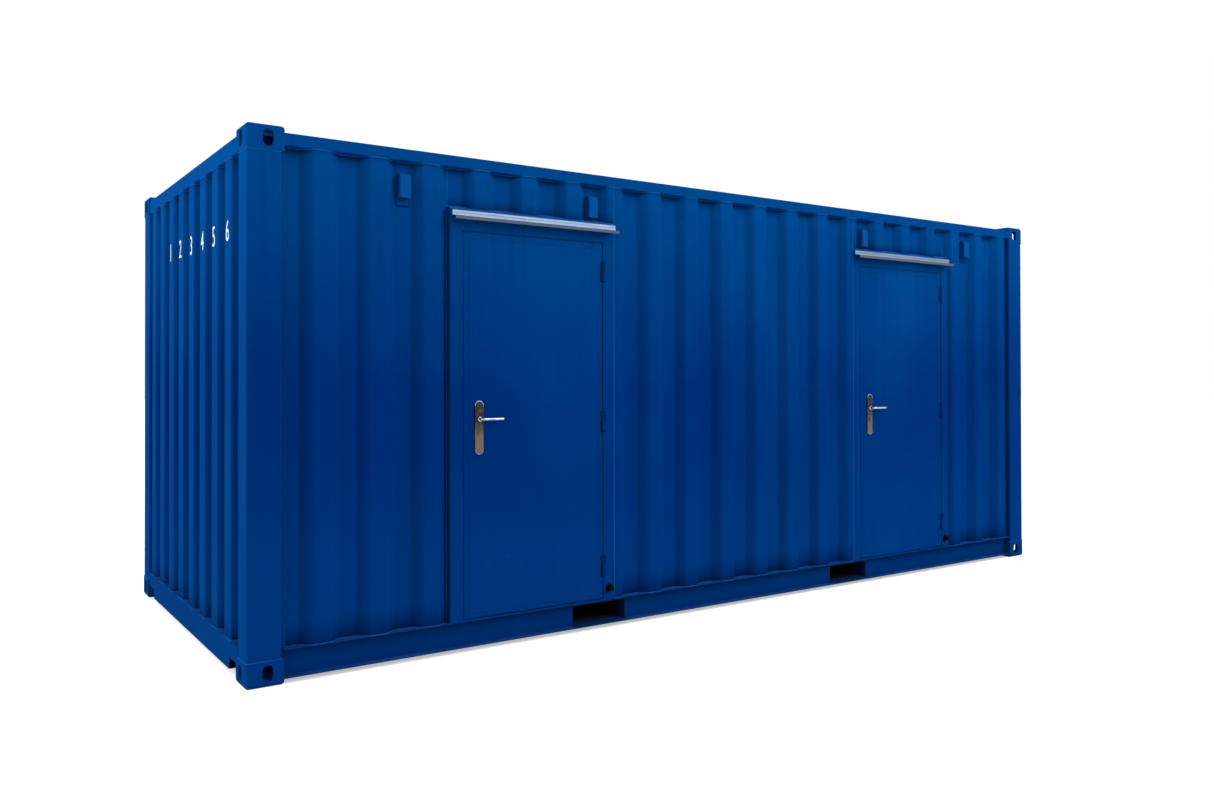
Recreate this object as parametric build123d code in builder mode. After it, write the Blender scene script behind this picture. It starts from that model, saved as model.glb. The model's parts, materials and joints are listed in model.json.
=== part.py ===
from build123d import *
import os

# Twenty-foot steel container used as a portable store: corrugated walls, a blind
# numbered end at -X, and two personnel doors in the long side at -Y.
# Millimetres. The origin is the middle of the base, +Z up.

# Overall size and corner castings
length = 6058
width = 2438
height = 2591
casting_length = 178
casting_width = 162
casting_height = 118
casting_plate = 28
casting_wall = 14
casting_radius = 20
lock_from_end = 102.5
lock_from_side = 89.5
lock_slot_length = 124.5
lock_slot_width = 63.5
side_hole_height = 79.5
side_hole_width = 51
side_hole_level = 62

# Corner posts, pressed from plate
post_plate = 6
post_inset = 4
post_side_face = 164
post_end_face = 149
post_return = 56
post_bend = 14

# Bottom rails: channels with their flanges turned out on the long sides
rail_bottom = 25
rail_top = 162
rail_setback = 3
rail_flange = 52
rail_plate = 4.5
end_rail_setback = 8
end_rail_flange = 64
end_rail_notch_length = 150
end_rail_notch_height = 58

# Top rails
top_rail = 60
top_rail_wall = 3
top_rail_setback = 3
top_rail_drop = 29
end_header_height = 82

# Corrugated sheets
sheet = 2
side_pitch = 285.5
side_crest = 84
side_slope = 56
side_depth = 42
side_first_crest = 358
crest_setback = 6
end_pitch = 257.5
end_crest = 112
end_slope = 18
end_depth = 45
end_first_crest = 359
end_crest_setback = 12

# Roof with pressed ribs
roof_rib_count = 27
roof_rib_width = 110
roof_rib_rise = 18
roof_margin = 110
roof_taper = 40

# Floor and underframe
floor_thickness = 28
floor_top = 172
floor_gap = 6
cross_member_flange = 45
cross_member_plate = 4
cross_member_spacing = 300

# Forklift pockets
pocket_spacing = 2080
pocket_width = 360
pocket_plate = 6
pocket_weld_gap = 0.4

# Personnel doors
first_door_from_end = 1031
second_door_from_end = 948
door_frame_width = 1032
frame_face = 72
frame_below_wall_top = 248
hood_height = 30
hood_proud = 20
hood_rise = 22
frame_plate = 2.5
frame_stop = 16
door_gap = 6.5
hinge_gap = 4
door_foot_gap = 10
door_seal_gap = 5.5
leaf_thickness = 42
leaf_sheet = 2
leaf_setback = 8
threshold_plate = 4

# Hinges, lift-off barrels in slots cut through the face
low_hinge_level = 350
middle_hinge_level = 1170
high_hinge_below_leaf_top = 160
hinge_barrel = 18
hinge_height = 104
hinge_pin = 10
hinge_proud = 3
hinge_slot_reach = 16
hinge_slot_depth = 20
hinge_slot_height = 116
hinge_wing = 6
hinge_play = 0.25

# Lever furniture
lever_level = 1203
lever_edge = 87
lever_arm = 128
lever_standoff = 42
lever_diameter = 17
lever_chamfer = 3
lever_play = 0.5
plate_width = 50
plate_bottom = 1018
plate_top = 1298
plate_thickness = 8
cylinder_drop = 72
cylinder_diameter = 17
cylinder_proud = 4

# Drip gutters on the hoods
gutter_length = 1026
gutter_below_hood_top = 3
gutter_plate = 2.5
gutter_flange = 29
gutter_reach = 44
gutter_drop = 9
gutter_lip = 12
gutter_lip_back = 8

# Rubber door stops
stop_washer = 50
stop_knob = 30
stop_height = 34
stop_foot = 6
stop_chamfer = 4
stop_level = 226
stop_offset = 40

# Vent hoods in the wall's troughs
vent_troughs = (1, 5)
vent_below_wall_top = 17
vent_width = 66
vent_hood_height = 118
vent_hood_drop = 7
vent_plate_height = 202
vent_projection = 40
vent_sheet = 2

half_length = length / 2
half_width = width / 2
lock_x = half_length - lock_from_end
lock_y = half_width - lock_from_side
rail_outer = half_width - rail_setback
rail_web = rail_outer - rail_flange
end_rail_outer = half_length - end_rail_setback
top_rail_level = height - top_rail_drop
side_start = -half_length + post_inset + post_side_face
side_end = -side_start
end_start = -half_width + post_end_face
wall_top = top_rail_level - top_rail
crest_y = half_width - crest_setback
crest_x = half_length - end_crest_setback
header_bottom = top_rail_level - end_header_height
side_crest_count = int((length - side_first_crest - casting_length) // side_pitch) + 1
end_crest_count = int((width - end_first_crest - post_end_face) // end_pitch) + 1
side_crests = [
    side_first_crest - half_length + side_pitch * index for index in range(side_crest_count)
]
end_crests = [end_first_crest - half_width + end_pitch * index for index in range(end_crest_count)]


def write(piece, name):
    piece.label = name
    export_step(piece, f"parts/{name}.step")


# Upright pressed sheet between two places along a plane, its crests on the plane's own line
def pressed_sheet(plane, start, end, crests, shape, high):
    crest, slope, depth = shape

    def behind(place):
        beside = min(abs(place - middle) for middle in crests)
        return depth * min(max((beside - crest / 2) / slope, 0), 1)

    bends = [start - sheet, end + sheet]
    for middle in crests:
        for reach in (-crest / 2 - slope, -crest / 2, crest / 2, crest / 2 + slope):
            if start < middle + reach < end:
                bends.append(middle + reach)
    with BuildPart() as panel:
        with BuildSketch(plane):
            with BuildLine():
                Polyline(*[(place, behind(place)) for place in sorted(bends)])
                offset(amount=sheet, side=Side.LEFT)
            make_face()
            with Locations(((start + end) / 2, 0)):
                Rectangle(end - start, 4 * depth, mode=Mode.INTERSECT)
        extrude(amount=high)
        with BuildSketch(Plane.XY.offset(height - casting_height)):
            with GridLocations(length - casting_length, width - casting_width, 2, 2):
                Rectangle(casting_length, casting_width)
        extrude(amount=casting_height, mode=Mode.SUBTRACT)
    return panel.part


# Side wall piece, its crests towards -Y
def side_sheet(start, end, low):
    plane = Plane(origin=(0, -crest_y, low))
    shape = (side_crest, side_slope, side_depth)
    return pressed_sheet(plane, start, end, side_crests, shape, wall_top - low)


# Corner castings: hollow blocks with a slot in each outer face
with BuildPart() as casting:
    with BuildSketch():
        with Locations((half_length - casting_length / 2, half_width - casting_width / 2)):
            Rectangle(casting_length, casting_width)
    extrude(amount=casting_height)
    outer_upright = casting.edges().filter_by(Axis.Z).sort_by(Axis.X)[-2:].sort_by(Axis.Y)[-1]
    base_edges = casting.faces().sort_by(Axis.Z)[0].edges()
    fillet([outer_upright, *base_edges], radius=casting_radius)
    with BuildSketch(Plane.XY.offset(casting_plate)):
        with Locations((half_length - casting_length / 2, half_width - casting_width / 2)):
            Rectangle(casting_length - 2 * casting_wall, casting_width - 2 * casting_wall)
    extrude(amount=casting_height - casting_plate - casting_wall, mode=Mode.SUBTRACT)
    with BuildSketch():
        with Locations((lock_x, lock_y)):
            SlotOverall(lock_slot_length, lock_slot_width)
    extrude(amount=casting_plate, mode=Mode.SUBTRACT)
    with BuildSketch(Plane.XZ.offset(-half_width)):
        with Locations((lock_x, side_hole_level)):
            SlotOverall(side_hole_height, side_hole_width, rotation=90)
    extrude(amount=casting_wall, mode=Mode.SUBTRACT)
    with BuildSketch(Plane.YZ.offset(half_length)):
        with Locations((lock_y, side_hole_level)):
            SlotOverall(side_hole_height, side_hole_width, rotation=90)
    extrude(amount=-casting_wall, mode=Mode.SUBTRACT)

# Corner post: one plate pressed round the corner, with a return along each wall
with BuildPart() as post:
    with BuildSketch(Plane.XY.offset(casting_height)):
        with BuildLine():
            FilletPolyline(
                (half_length - post_inset - post_return, half_width - post_end_face),
                (half_length - post_inset, half_width - post_end_face),
                (half_length - post_inset, half_width - post_inset),
                (half_length - post_inset - post_side_face, half_width - post_inset),
                (half_length - post_inset - post_side_face, half_width - post_inset - post_return),
                radius=post_bend,
            )
            offset(amount=post_plate, side=Side.LEFT)
        make_face()
    extrude(amount=height - 2 * casting_height)

# Bottom side rail: a channel with its web set in, and both forklift pockets cut through it
with BuildPart() as side_rail:
    with BuildSketch(Plane.YZ.offset(-half_length + casting_length)):
        with BuildLine():
            Polyline(
                (rail_outer, rail_bottom),
                (rail_web, rail_bottom),
                (rail_web, rail_top),
                (rail_outer, rail_top),
            )
            offset(amount=rail_plate, side=Side.RIGHT)
        make_face()
    extrude(amount=length - 2 * casting_length)
    with BuildSketch(Plane.XZ.offset(-half_width)):
        with GridLocations(pocket_spacing, 0, 2, 1):
            with Locations((0, (floor_top - floor_thickness) / 2)):
                Rectangle(pocket_width + 2 * pocket_plate, floor_top - floor_thickness)
    extrude(amount=rail_setback + rail_flange + rail_plate, mode=Mode.SUBTRACT)

# Top side rail: square tube
with BuildPart() as top_side_rail:
    with BuildSketch(Plane.YZ.offset(-half_length + casting_length)):
        with Locations((half_width - top_rail_setback - top_rail / 2, top_rail_level - top_rail / 2)):
            RectangleRounded(top_rail, top_rail, 2 * top_rail_wall)
            inner_rail = top_rail - 2 * top_rail_wall
            Rectangle(inner_rail, inner_rail, mode=Mode.SUBTRACT)
    extrude(amount=length - 2 * casting_length)

# Bottom end rail: a channel turned in, its lower corners notched beside the castings
with BuildPart() as end_rail:
    with BuildSketch(Plane.XZ.offset(-half_width + casting_width)):
        with BuildLine():
            Polyline(
                (end_rail_outer - end_rail_flange, rail_bottom),
                (end_rail_outer, rail_bottom),
                (end_rail_outer, rail_top),
                (end_rail_outer - end_rail_flange, rail_top),
            )
            offset(amount=rail_plate, side=Side.LEFT)
        make_face()
    extrude(amount=width - 2 * casting_width)
    with BuildSketch(Plane.YZ.offset(end_rail_outer)):
        with GridLocations(width - 2 * casting_width - end_rail_notch_length, 0, 2, 1):
            with Locations((0, rail_bottom + end_rail_notch_height / 2)):
                Rectangle(end_rail_notch_length, end_rail_notch_height)
    extrude(amount=-end_rail_flange, mode=Mode.SUBTRACT)

# Top end rail: rectangular tube over the end wall
with BuildPart() as header:
    with BuildSketch(Plane.XZ.offset(-half_width + casting_width)):
        with Locations((end_rail_outer - top_rail / 2, top_rail_level - end_header_height / 2)):
            RectangleRounded(top_rail, end_header_height, 2 * top_rail_wall)
            inner_header = end_header_height - 2 * top_rail_wall
            Rectangle(inner_rail, inner_header, mode=Mode.SUBTRACT)
    extrude(amount=width - 2 * casting_width)

# End wall: one corrugated sheet between the posts
end_plane = Plane(origin=(crest_x, 0, rail_top), x_dir=(0, 1, 0), z_dir=(0, 0, 1))
end_shape = (end_crest, end_slope, end_depth)
end_wall = pressed_sheet(
    end_plane, end_start, -end_start, end_crests, end_shape, header_bottom - rail_top
)

# Roof sheet between the castings, with ribs pressed up across it
with BuildPart() as roof:
    with BuildSketch(Plane.XY.offset(top_rail_level)):
        Rectangle(length - 2 * casting_length, width - 2 * top_rail_setback - top_rail)
    extrude(amount=sheet)
    rib_length = width - 2 * casting_width - 2 * roof_margin
    rib_pitch = (length - 2 * casting_length - 2 * roof_margin) / (roof_rib_count - 1)
    with BuildSketch(Plane.XY.offset(top_rail_level + sheet)):
        with GridLocations(rib_pitch, 0, roof_rib_count, 1):
            Rectangle(roof_rib_width, rib_length)
    extrude(amount=roof_rib_rise, taper=roof_taper)
    with BuildSketch(Plane.XY.offset(top_rail_level)):
        with GridLocations(rib_pitch, 0, roof_rib_count, 1):
            Rectangle(roof_rib_width - sheet, rib_length - sheet)
    extrude(amount=roof_rib_rise, taper=roof_taper, mode=Mode.SUBTRACT)

# Flat plates that close the roof over the end headers, from casting to casting
with BuildPart() as roof_end_plates:
    plate_end = end_rail_outer - top_rail / 2
    plate_start = half_length - casting_length
    with BuildSketch(Plane.XY.offset(top_rail_level)):
        with GridLocations(plate_start + plate_end, 0, 2, 1):
            Rectangle(plate_end - plate_start, width - 2 * casting_width)
    extrude(amount=sheet)

# Plywood floor between the bottom rails
with BuildPart() as floor_deck:
    with BuildSketch(Plane.XY.offset(floor_top)):
        Rectangle(
            2 * end_rail_outer - 2 * end_rail_flange - 2 * floor_gap,
            2 * rail_web - 2 * floor_gap,
        )
    extrude(amount=-floor_thickness)

# Cross members: channels from web to web, clear of the forklift pockets
member_top = floor_top - floor_thickness
pocket_edge = pocket_spacing / 2 + pocket_width / 2 + pocket_plate
inner_bay = pocket_spacing / 2 - pocket_width / 2 - pocket_plate
member_places = []
last_member = int(half_length // cross_member_spacing)
for step in range(-last_member, last_member + 1):
    place = step * cross_member_spacing
    clear_inside = abs(place) + cross_member_flange < inner_bay
    clear_outside = abs(place) > pocket_edge + cross_member_flange
    clear_of_end = abs(place) + cross_member_flange < half_length - casting_length
    if (clear_inside or clear_outside) and clear_of_end:
        member_places.append((place, 0))
with BuildPart() as cross_members:
    with BuildSketch(Plane.XZ.offset(-rail_web)):
        with Locations(*member_places):
            with Locations((0, (rail_bottom + member_top) / 2)):
                Rectangle(cross_member_flange, member_top - rail_bottom)
            with Locations((cross_member_plate, (rail_bottom + member_top) / 2)):
                Rectangle(
                    cross_member_flange,
                    member_top - rail_bottom - 2 * cross_member_plate,
                    mode=Mode.SUBTRACT,
                )
    extrude(amount=2 * rail_web)

# Forklift pockets: tunnels from web to web, each welded of four plates. Their floor
# plates run out to the edges of the rails' flanges.
with BuildPart() as pockets:
    web_face = rail_web + rail_plate
    pocket_sides = (pocket_width + pocket_plate) / 2
    pocket_middle = (rail_bottom + member_top) / 2
    pocket_floor = rail_bottom + pocket_plate / 2
    pocket_roof = member_top - pocket_plate / 2
    for level, reach in ((pocket_floor, rail_outer), (pocket_roof, web_face)):
        with BuildSketch(Plane.XZ.offset(-reach)):
            with GridLocations(pocket_spacing, 0, 2, 1):
                with Locations((0, level)):
                    Rectangle(pocket_width + 2 * pocket_plate, pocket_plate)
        extrude(amount=2 * reach)
    with BuildSketch(Plane.XZ.offset(-web_face)):
        with GridLocations(pocket_spacing, 0, 2, 1):
            with Locations((-pocket_sides, pocket_middle), (pocket_sides, pocket_middle)):
                Rectangle(pocket_plate, pocket_roof - pocket_floor - pocket_plate - 2 * pocket_weld_gap)
    extrude(amount=2 * web_face)

os.makedirs("parts", exist_ok=True)

mid_height = Plane.XY.offset(height / 2)
right_pieces = {"casting_bottom": casting.part, "post": post.part}
right_pieces["casting_top"] = mirror(casting.part, about=mid_height)
for name, right_piece in right_pieces.items():
    for end, back_piece in (("right", right_piece), ("left", mirror(right_piece, about=Plane.YZ))):
        write(back_piece, f"{name}_{end}_back")
        write(mirror(back_piece, about=Plane.XZ), f"{name}_{end}_front")

write(side_rail.part, "bottom_rail_back")
write(mirror(side_rail.part, about=Plane.XZ), "bottom_rail_front")
write(top_side_rail.part, "top_rail_back")
write(mirror(top_side_rail.part, about=Plane.XZ), "top_rail_front")
write(end_rail.part, "bottom_rail_right")
write(mirror(end_rail.part, about=Plane.YZ), "bottom_rail_left")
write(header.part, "top_rail_right")
write(mirror(header.part, about=Plane.YZ), "top_rail_left")
write(end_wall, "end_wall_right")
write(mirror(end_wall, about=Plane.YZ), "end_wall_left")
write(roof.part, "roof")
write(roof_end_plates.part, "roof_end_plates")
write(floor_deck.part, "floor_deck")
write(cross_members.part, "cross_members")
write(pockets.part, "forklift_pockets")

# Side walls: the back one whole, the front one parted at the two doorways
write(mirror(side_sheet(side_start, side_end, rail_top), about=Plane.XZ), "back_wall")
door_places = (
    first_door_from_end - half_length,
    half_length - second_door_from_end - door_frame_width,
)
wall_edges = [side_start]
for place in door_places:
    wall_edges += [place, place + door_frame_width]
wall_edges.append(side_end)
for name, start, end in zip(("left", "middle", "right"), wall_edges[0::2], wall_edges[1::2]):
    write(side_sheet(start, end, rail_top), f"front_wall_{name}")

face_y = -crest_y
leaf_y = -half_width + leaf_setback
leaf_bottom = rail_top + door_foot_gap
frame_top = wall_top - frame_below_wall_top
leaf_top = frame_top - frame_face - door_gap
hinge_levels = (low_hinge_level, middle_hinge_level, leaf_top - high_hinge_below_leaf_top)
hood_top = frame_top + hood_height
stop_face = leaf_y + leaf_thickness + door_seal_gap
frame_depth = stop_face + frame_plate - face_y
trough_y = face_y + side_depth
hood_front = face_y - hood_proud
hood_back_top = hood_top + hood_rise
for number, place in enumerate(door_places, start=1):
    frame_end = place + door_frame_width
    hinge_x = frame_end - frame_face - hinge_gap
    leaf_left = place + frame_face + door_gap
    leaf_right = hinge_x - hinge_gap
    pin_y = leaf_y - hinge_proud
    lever_x = leaf_left + lever_edge
    outer_face = Plane.XZ.offset(-leaf_y)
    inner_face = Plane.XZ.offset(-leaf_y - leaf_thickness)

    # Wall over the doorway, cut along the slope of the hood under it
    with BuildPart() as wall_over_door:
        add(side_sheet(place, frame_end, hood_top))
        with BuildSketch(Plane.YZ.offset(place)):
            with BuildLine():
                Polyline(
                    (hood_front, hood_top),
                    (trough_y, hood_back_top),
                    (trough_y + sheet, hood_back_top),
                    (trough_y + sheet, hood_top),
                    close=True,
                )
            make_face()
        extrude(amount=door_frame_width, mode=Mode.SUBTRACT)
    write(wall_over_door.part, f"wall_over_door_{number}")

    # Door frame: a pressed section swept up, over and down, a threshold under the leaf,
    # and a folded hood on top with its cap sloping back to the wall
    with BuildPart() as frame:
        with BuildLine():
            Polyline(
                (place, face_y, rail_top),
                (place, face_y, frame_top),
                (frame_end, face_y, frame_top),
                (frame_end, face_y, rail_top),
            )
        with BuildSketch(Plane.XY.offset(rail_top)):
            with BuildLine():
                Polyline(
                    (place, face_y + frame_depth),
                    (place, face_y),
                    (place + frame_face, face_y),
                    (place + frame_face, stop_face),
                    (place + frame_face + frame_stop, stop_face),
                )
                offset(amount=frame_plate, side=Side.LEFT)
            make_face()
        sweep(transition=Transition.RIGHT)
        with BuildSketch(Plane.XY.offset(rail_top)):
            with Locations((place + door_frame_width / 2, face_y + frame_depth / 2)):
                Rectangle(door_frame_width - 2 * frame_face, frame_depth)
        extrude(amount=threshold_plate)
        with BuildSketch(Plane.YZ.offset(place)):
            with BuildLine():
                Polyline(
                    (hood_front, frame_top),
                    (hood_front, hood_top),
                    (trough_y, hood_back_top),
                    (trough_y, frame_top),
                    close=True,
                )
            make_face()
        extrude(amount=door_frame_width)
        with BuildSketch(Plane.YZ.offset(place + frame_plate)):
            with BuildLine():
                Polyline(
                    (hood_front + frame_plate, frame_top + frame_plate),
                    (hood_front + frame_plate, hood_top - frame_plate),
                    (trough_y, hood_back_top - frame_plate),
                    (trough_y, frame_top + frame_plate),
                    close=True,
                )
            make_face()
        extrude(amount=door_frame_width - 2 * frame_plate, mode=Mode.SUBTRACT)
        with BuildSketch(Plane.XZ.offset(-face_y)):
            for level in hinge_levels:
                with Locations((hinge_x, level)):
                    Rectangle(2 * hinge_slot_reach, hinge_slot_height)
        extrude(amount=-hinge_slot_depth, mode=Mode.SUBTRACT)
    write(frame.part, f"door_frame_{number}")

    # Door leaf: two skins and a folded edge, open along the top as hollow steel doors are
    with BuildPart() as leaf:
        with BuildSketch(Plane.XY.offset(leaf_bottom)):
            with Locations(((leaf_left + leaf_right) / 2, leaf_y + leaf_thickness / 2)):
                Rectangle(leaf_right - leaf_left, leaf_thickness)
        extrude(amount=leaf_top - leaf_bottom)
        with BuildSketch(Plane.XY.offset(leaf_bottom + leaf_sheet)):
            with Locations(((leaf_left + leaf_right) / 2, leaf_y + leaf_thickness / 2)):
                Rectangle(leaf_right - leaf_left - 2 * leaf_sheet, leaf_thickness - 2 * leaf_sheet)
        extrude(amount=leaf_top - leaf_bottom, mode=Mode.SUBTRACT)
        with BuildSketch(outer_face):
            for level in hinge_levels:
                with Locations((hinge_x, level)):
                    Rectangle(2 * hinge_slot_reach, hinge_slot_height)
        extrude(amount=-hinge_slot_depth, mode=Mode.SUBTRACT)
        with BuildSketch(outer_face):
            with Locations((lever_x, lever_level)):
                Circle(lever_diameter / 2 + lever_play)
            with Locations((lever_x, lever_level - cylinder_drop)):
                Circle(cylinder_diameter / 2)
        extrude(amount=-leaf_thickness, mode=Mode.SUBTRACT)
    write(leaf.part, f"door_leaf_{number}")

    # Hinge halves: the lower barrels with their pins on the frame, the upper ones on the leaf
    with BuildPart() as frame_hinges:
        for level in hinge_levels:
            with BuildSketch(Plane.XY.offset(level - hinge_height / 2)):
                with Locations((hinge_x, pin_y)):
                    Circle(hinge_barrel / 2)
                with Locations((hinge_x + hinge_slot_reach / 2, face_y + hinge_wing / 2)):
                    Rectangle(hinge_slot_reach, hinge_wing)
            extrude(amount=hinge_height / 2 - hinge_play)
            with BuildSketch(Plane.XY.offset(level - hinge_play)):
                with Locations((hinge_x, pin_y)):
                    Circle(hinge_pin / 2)
            extrude(amount=hinge_height / 2)
    write(frame_hinges.part, f"frame_hinges_{number}")

    with BuildPart() as leaf_hinges:
        for level in hinge_levels:
            with BuildSketch(Plane.XY.offset(level + hinge_play)):
                with Locations((hinge_x, pin_y)):
                    Circle(hinge_barrel / 2)
                with Locations((hinge_x - hinge_slot_reach / 2, leaf_y + hinge_wing / 2)):
                    Rectangle(hinge_slot_reach, hinge_wing)
                with Locations((hinge_x, pin_y)):
                    Circle(hinge_pin / 2 + hinge_play, mode=Mode.SUBTRACT)
            extrude(amount=hinge_height / 2 - hinge_play)
    write(leaf_hinges.part, f"leaf_hinges_{number}")

    # Lock plates: a long plate on each face, and the key cylinder through both
    with BuildPart() as lock_plates:
        for plane, outward in ((outer_face, 1), (inner_face, -1)):
            with BuildSketch(plane):
                with Locations((lever_x, (plate_bottom + plate_top) / 2)):
                    SlotOverall(plate_top - plate_bottom, plate_width, rotation=90)
                with Locations((lever_x, lever_level)):
                    Circle(lever_diameter / 2 + lever_play, mode=Mode.SUBTRACT)
            extrude(amount=outward * plate_thickness)
        with BuildSketch(outer_face.offset(plate_thickness + cylinder_proud)):
            with Locations((lever_x, lever_level - cylinder_drop)):
                Circle(cylinder_diameter / 2)
        extrude(amount=-leaf_thickness - 2 * plate_thickness - 2 * cylinder_proud)
    write(lock_plates.part, f"lock_plates_{number}")

    # Lever: one bar mitred into the two handles and the spindle between them
    with BuildPart() as lever:
        outer_arm = leaf_y - lever_standoff
        inner_arm = leaf_y + leaf_thickness + lever_standoff
        with BuildLine(Plane.XY.offset(lever_level)):
            Polyline(
                (lever_x + lever_arm, outer_arm),
                (lever_x, outer_arm),
                (lever_x, inner_arm),
                (lever_x + lever_arm, inner_arm),
            )
        with BuildSketch(Plane.YZ.offset(lever_x + lever_arm)):
            with Locations((outer_arm, lever_level)):
                Circle(lever_diameter / 2)
        sweep(transition=Transition.RIGHT)
        chamfer(lever.faces().filter_by(Axis.X).edges(), length=lever_chamfer)
    write(lever.part, f"lever_{number}")

# Drip gutters: a flange on the hood's front, a sloping tray and a lip turned down and back,
# open at both ends
with BuildPart() as gutters:
    flange_top = hood_top - gutter_below_hood_top
    tray_back = flange_top - gutter_flange
    tray_front_y = hood_front - gutter_reach
    tray_front = tray_back - gutter_drop
    lip_end = (tray_front_y + gutter_lip_back, tray_front - gutter_lip)
    for place in door_places:
        start = place + (door_frame_width - gutter_length) / 2
        with BuildSketch(Plane.YZ.offset(start)):
            with BuildLine():
                Polyline(
                    (hood_front, flange_top),
                    (hood_front, tray_back),
                    (tray_front_y, tray_front),
                    lip_end,
                )
                offset(amount=gutter_plate, side=Side.RIGHT)
            make_face()
        extrude(amount=gutter_length)
write(gutters.part, "drip_gutters")

# Door stops: rubber knobs on the frames' hinge side
with BuildPart() as stops:
    for place in door_places:
        hinge_x = place + door_frame_width - frame_face - hinge_gap
        for diameter, proud in ((stop_washer, stop_foot), (stop_knob, stop_height)):
            with BuildSketch(Plane.XZ.offset(-face_y)):
                with Locations((hinge_x + stop_offset, stop_level)):
                    Circle(diameter / 2)
            extrude(amount=proud)
    chamfer(stops.faces().sort_by(Axis.Y)[:2].edges(), length=stop_chamfer)
write(stops.part, "door_stops")

# Vent hoods: a plate in the wall's trough, cut off at the door hoods, with a box over it that
# is open underneath
with BuildPart() as vents:
    vent_places = []
    vent_level = wall_top - vent_below_wall_top - vent_plate_height / 2
    last_troughs = [side_crest_count - 2 - trough for trough in vent_troughs]
    for trough in (*vent_troughs, *last_troughs):
        run = side_first_crest + side_pitch * (trough + 0.5)
        vent_places.append((run - half_length, vent_level))
    plate_plane = Plane.XZ.offset(-trough_y)
    with BuildSketch(plate_plane):
        with Locations(*vent_places):
            Rectangle(vent_width, vent_plate_height)
        for place in door_places:
            with Locations((place + door_frame_width / 2, hood_back_top - vent_plate_height / 2)):
                Rectangle(door_frame_width, vent_plate_height, mode=Mode.SUBTRACT)
    extrude(amount=vent_sheet)
    with BuildSketch(plate_plane):
        with Locations(*vent_places):
            with Locations((0, -vent_hood_drop)):
                Rectangle(vent_width, vent_hood_height)
    extrude(amount=vent_projection)
    with BuildSketch(plate_plane.offset(vent_sheet)):
        with Locations(*vent_places):
            with Locations((0, -vent_hood_drop - vent_sheet)):
                Rectangle(vent_width - 2 * vent_sheet, vent_hood_height)
    extrude(amount=vent_projection - 2 * vent_sheet, mode=Mode.SUBTRACT)
write(vents.part, "vent_hoods")
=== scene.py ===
import json
import math
from functools import partial

import bmesh
import bpy
from mathutils import Matrix, Vector


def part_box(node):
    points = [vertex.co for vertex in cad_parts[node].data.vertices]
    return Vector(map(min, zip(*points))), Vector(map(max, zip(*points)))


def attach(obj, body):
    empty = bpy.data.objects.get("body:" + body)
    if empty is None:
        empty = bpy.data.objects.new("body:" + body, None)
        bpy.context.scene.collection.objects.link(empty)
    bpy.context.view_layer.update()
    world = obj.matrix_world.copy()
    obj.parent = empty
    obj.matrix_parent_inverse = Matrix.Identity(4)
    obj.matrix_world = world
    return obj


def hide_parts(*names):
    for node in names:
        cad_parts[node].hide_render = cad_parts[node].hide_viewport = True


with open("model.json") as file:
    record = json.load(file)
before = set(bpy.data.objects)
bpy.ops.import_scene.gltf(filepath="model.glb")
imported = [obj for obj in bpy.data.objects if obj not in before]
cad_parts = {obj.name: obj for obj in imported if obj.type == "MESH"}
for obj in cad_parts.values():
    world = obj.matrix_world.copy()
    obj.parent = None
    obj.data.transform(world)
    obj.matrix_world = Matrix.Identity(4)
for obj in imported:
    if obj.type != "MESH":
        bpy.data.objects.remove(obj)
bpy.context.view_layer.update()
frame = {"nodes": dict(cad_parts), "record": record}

nodes = frame["nodes"]
nodeRows = frame["record"]["subparts"]
scene = bpy.context.scene
print("frame loaded,", len(nodes), "nodes")

general = {"halfLength": 3.029, "halfWidth": 1.219, "railTop": 0.162, "wallTop": 2.502, "seed": 7}
halfLength, halfWidth = general["halfLength"], general["halfWidth"]


def hexColour(code):
    # sRGB hex to the linear values that Blender's sockets hold
    channels = [int(code[i:i + 2], 16) / 255 for i in (1, 3, 5)]
    return (*(c / 12.92 if c <= 0.04045 else ((c + 0.055) / 1.055) ** 2.4 for c in channels), 1)


linked = (bpy.types.Node, bpy.types.NodeSocket)


def addNode(tree, kind, inputs=(), **settings):
    # One node with its settings. Its inputs, in order or by name, take a value, a socket, a node,
    # which stands for its first output, or a list of links. A tuple that starts with a link maps
    # it from between two numbers to between the next two, or to between 0 and 1
    node = tree.nodes.new(kind)
    for name, value in settings.items():
        setattr(node, name, value)
    for key, value in (inputs if isinstance(inputs, dict) else dict(enumerate(inputs))).items():
        for source in value if isinstance(value, list) else [value]:
            if isinstance(source, tuple) and isinstance(source[0], linked):
                source = addNode(tree, "ShaderNodeMapRange", source)
            if isinstance(source, bpy.types.Node):
                source = next(output for output in source.outputs if not output.is_unavailable)
            if isinstance(source, bpy.types.NodeSocket):
                tree.links.new(source, node.inputs[key])
            else:
                node.inputs[key].default_value = source
    return node


def emptied(owner):
    # clears the nodes of a material or a world, and gives back what adds new ones
    owner.use_nodes = True
    owner.node_tree.nodes.clear()
    return partial(addNode, owner.node_tree)


def newMaterial(name):
    material = bpy.data.materials.new(name)
    add = emptied(material)
    return material, add, add("ShaderNodeTexCoord").outputs["Object"]


def grain(add, place, size, stretch=(1, 1, 1), detail=2.0, rough=0.5):
    # noise whose lumps are `size` metres across, longer where stretch is over 1
    scale = tuple(1 / (size * s) for s in stretch)
    spread = add("ShaderNodeMapping", {"Vector": place, "Scale": scale})
    return add("ShaderNodeTexNoise", {
        "Vector": spread, "Scale": 1.0, "Detail": detail, "Roughness": rough})


def coated(add, base, coats):
    # a base colour under its coats, each laid over the last as far as its mask goes
    colour = hexColour(base)
    for mask, code in coats:
        colour = add("ShaderNodeMix", {
            "Factor": mask, "A": colour, "B": hexColour(code)}, data_type="RGBA")
    return colour


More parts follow.
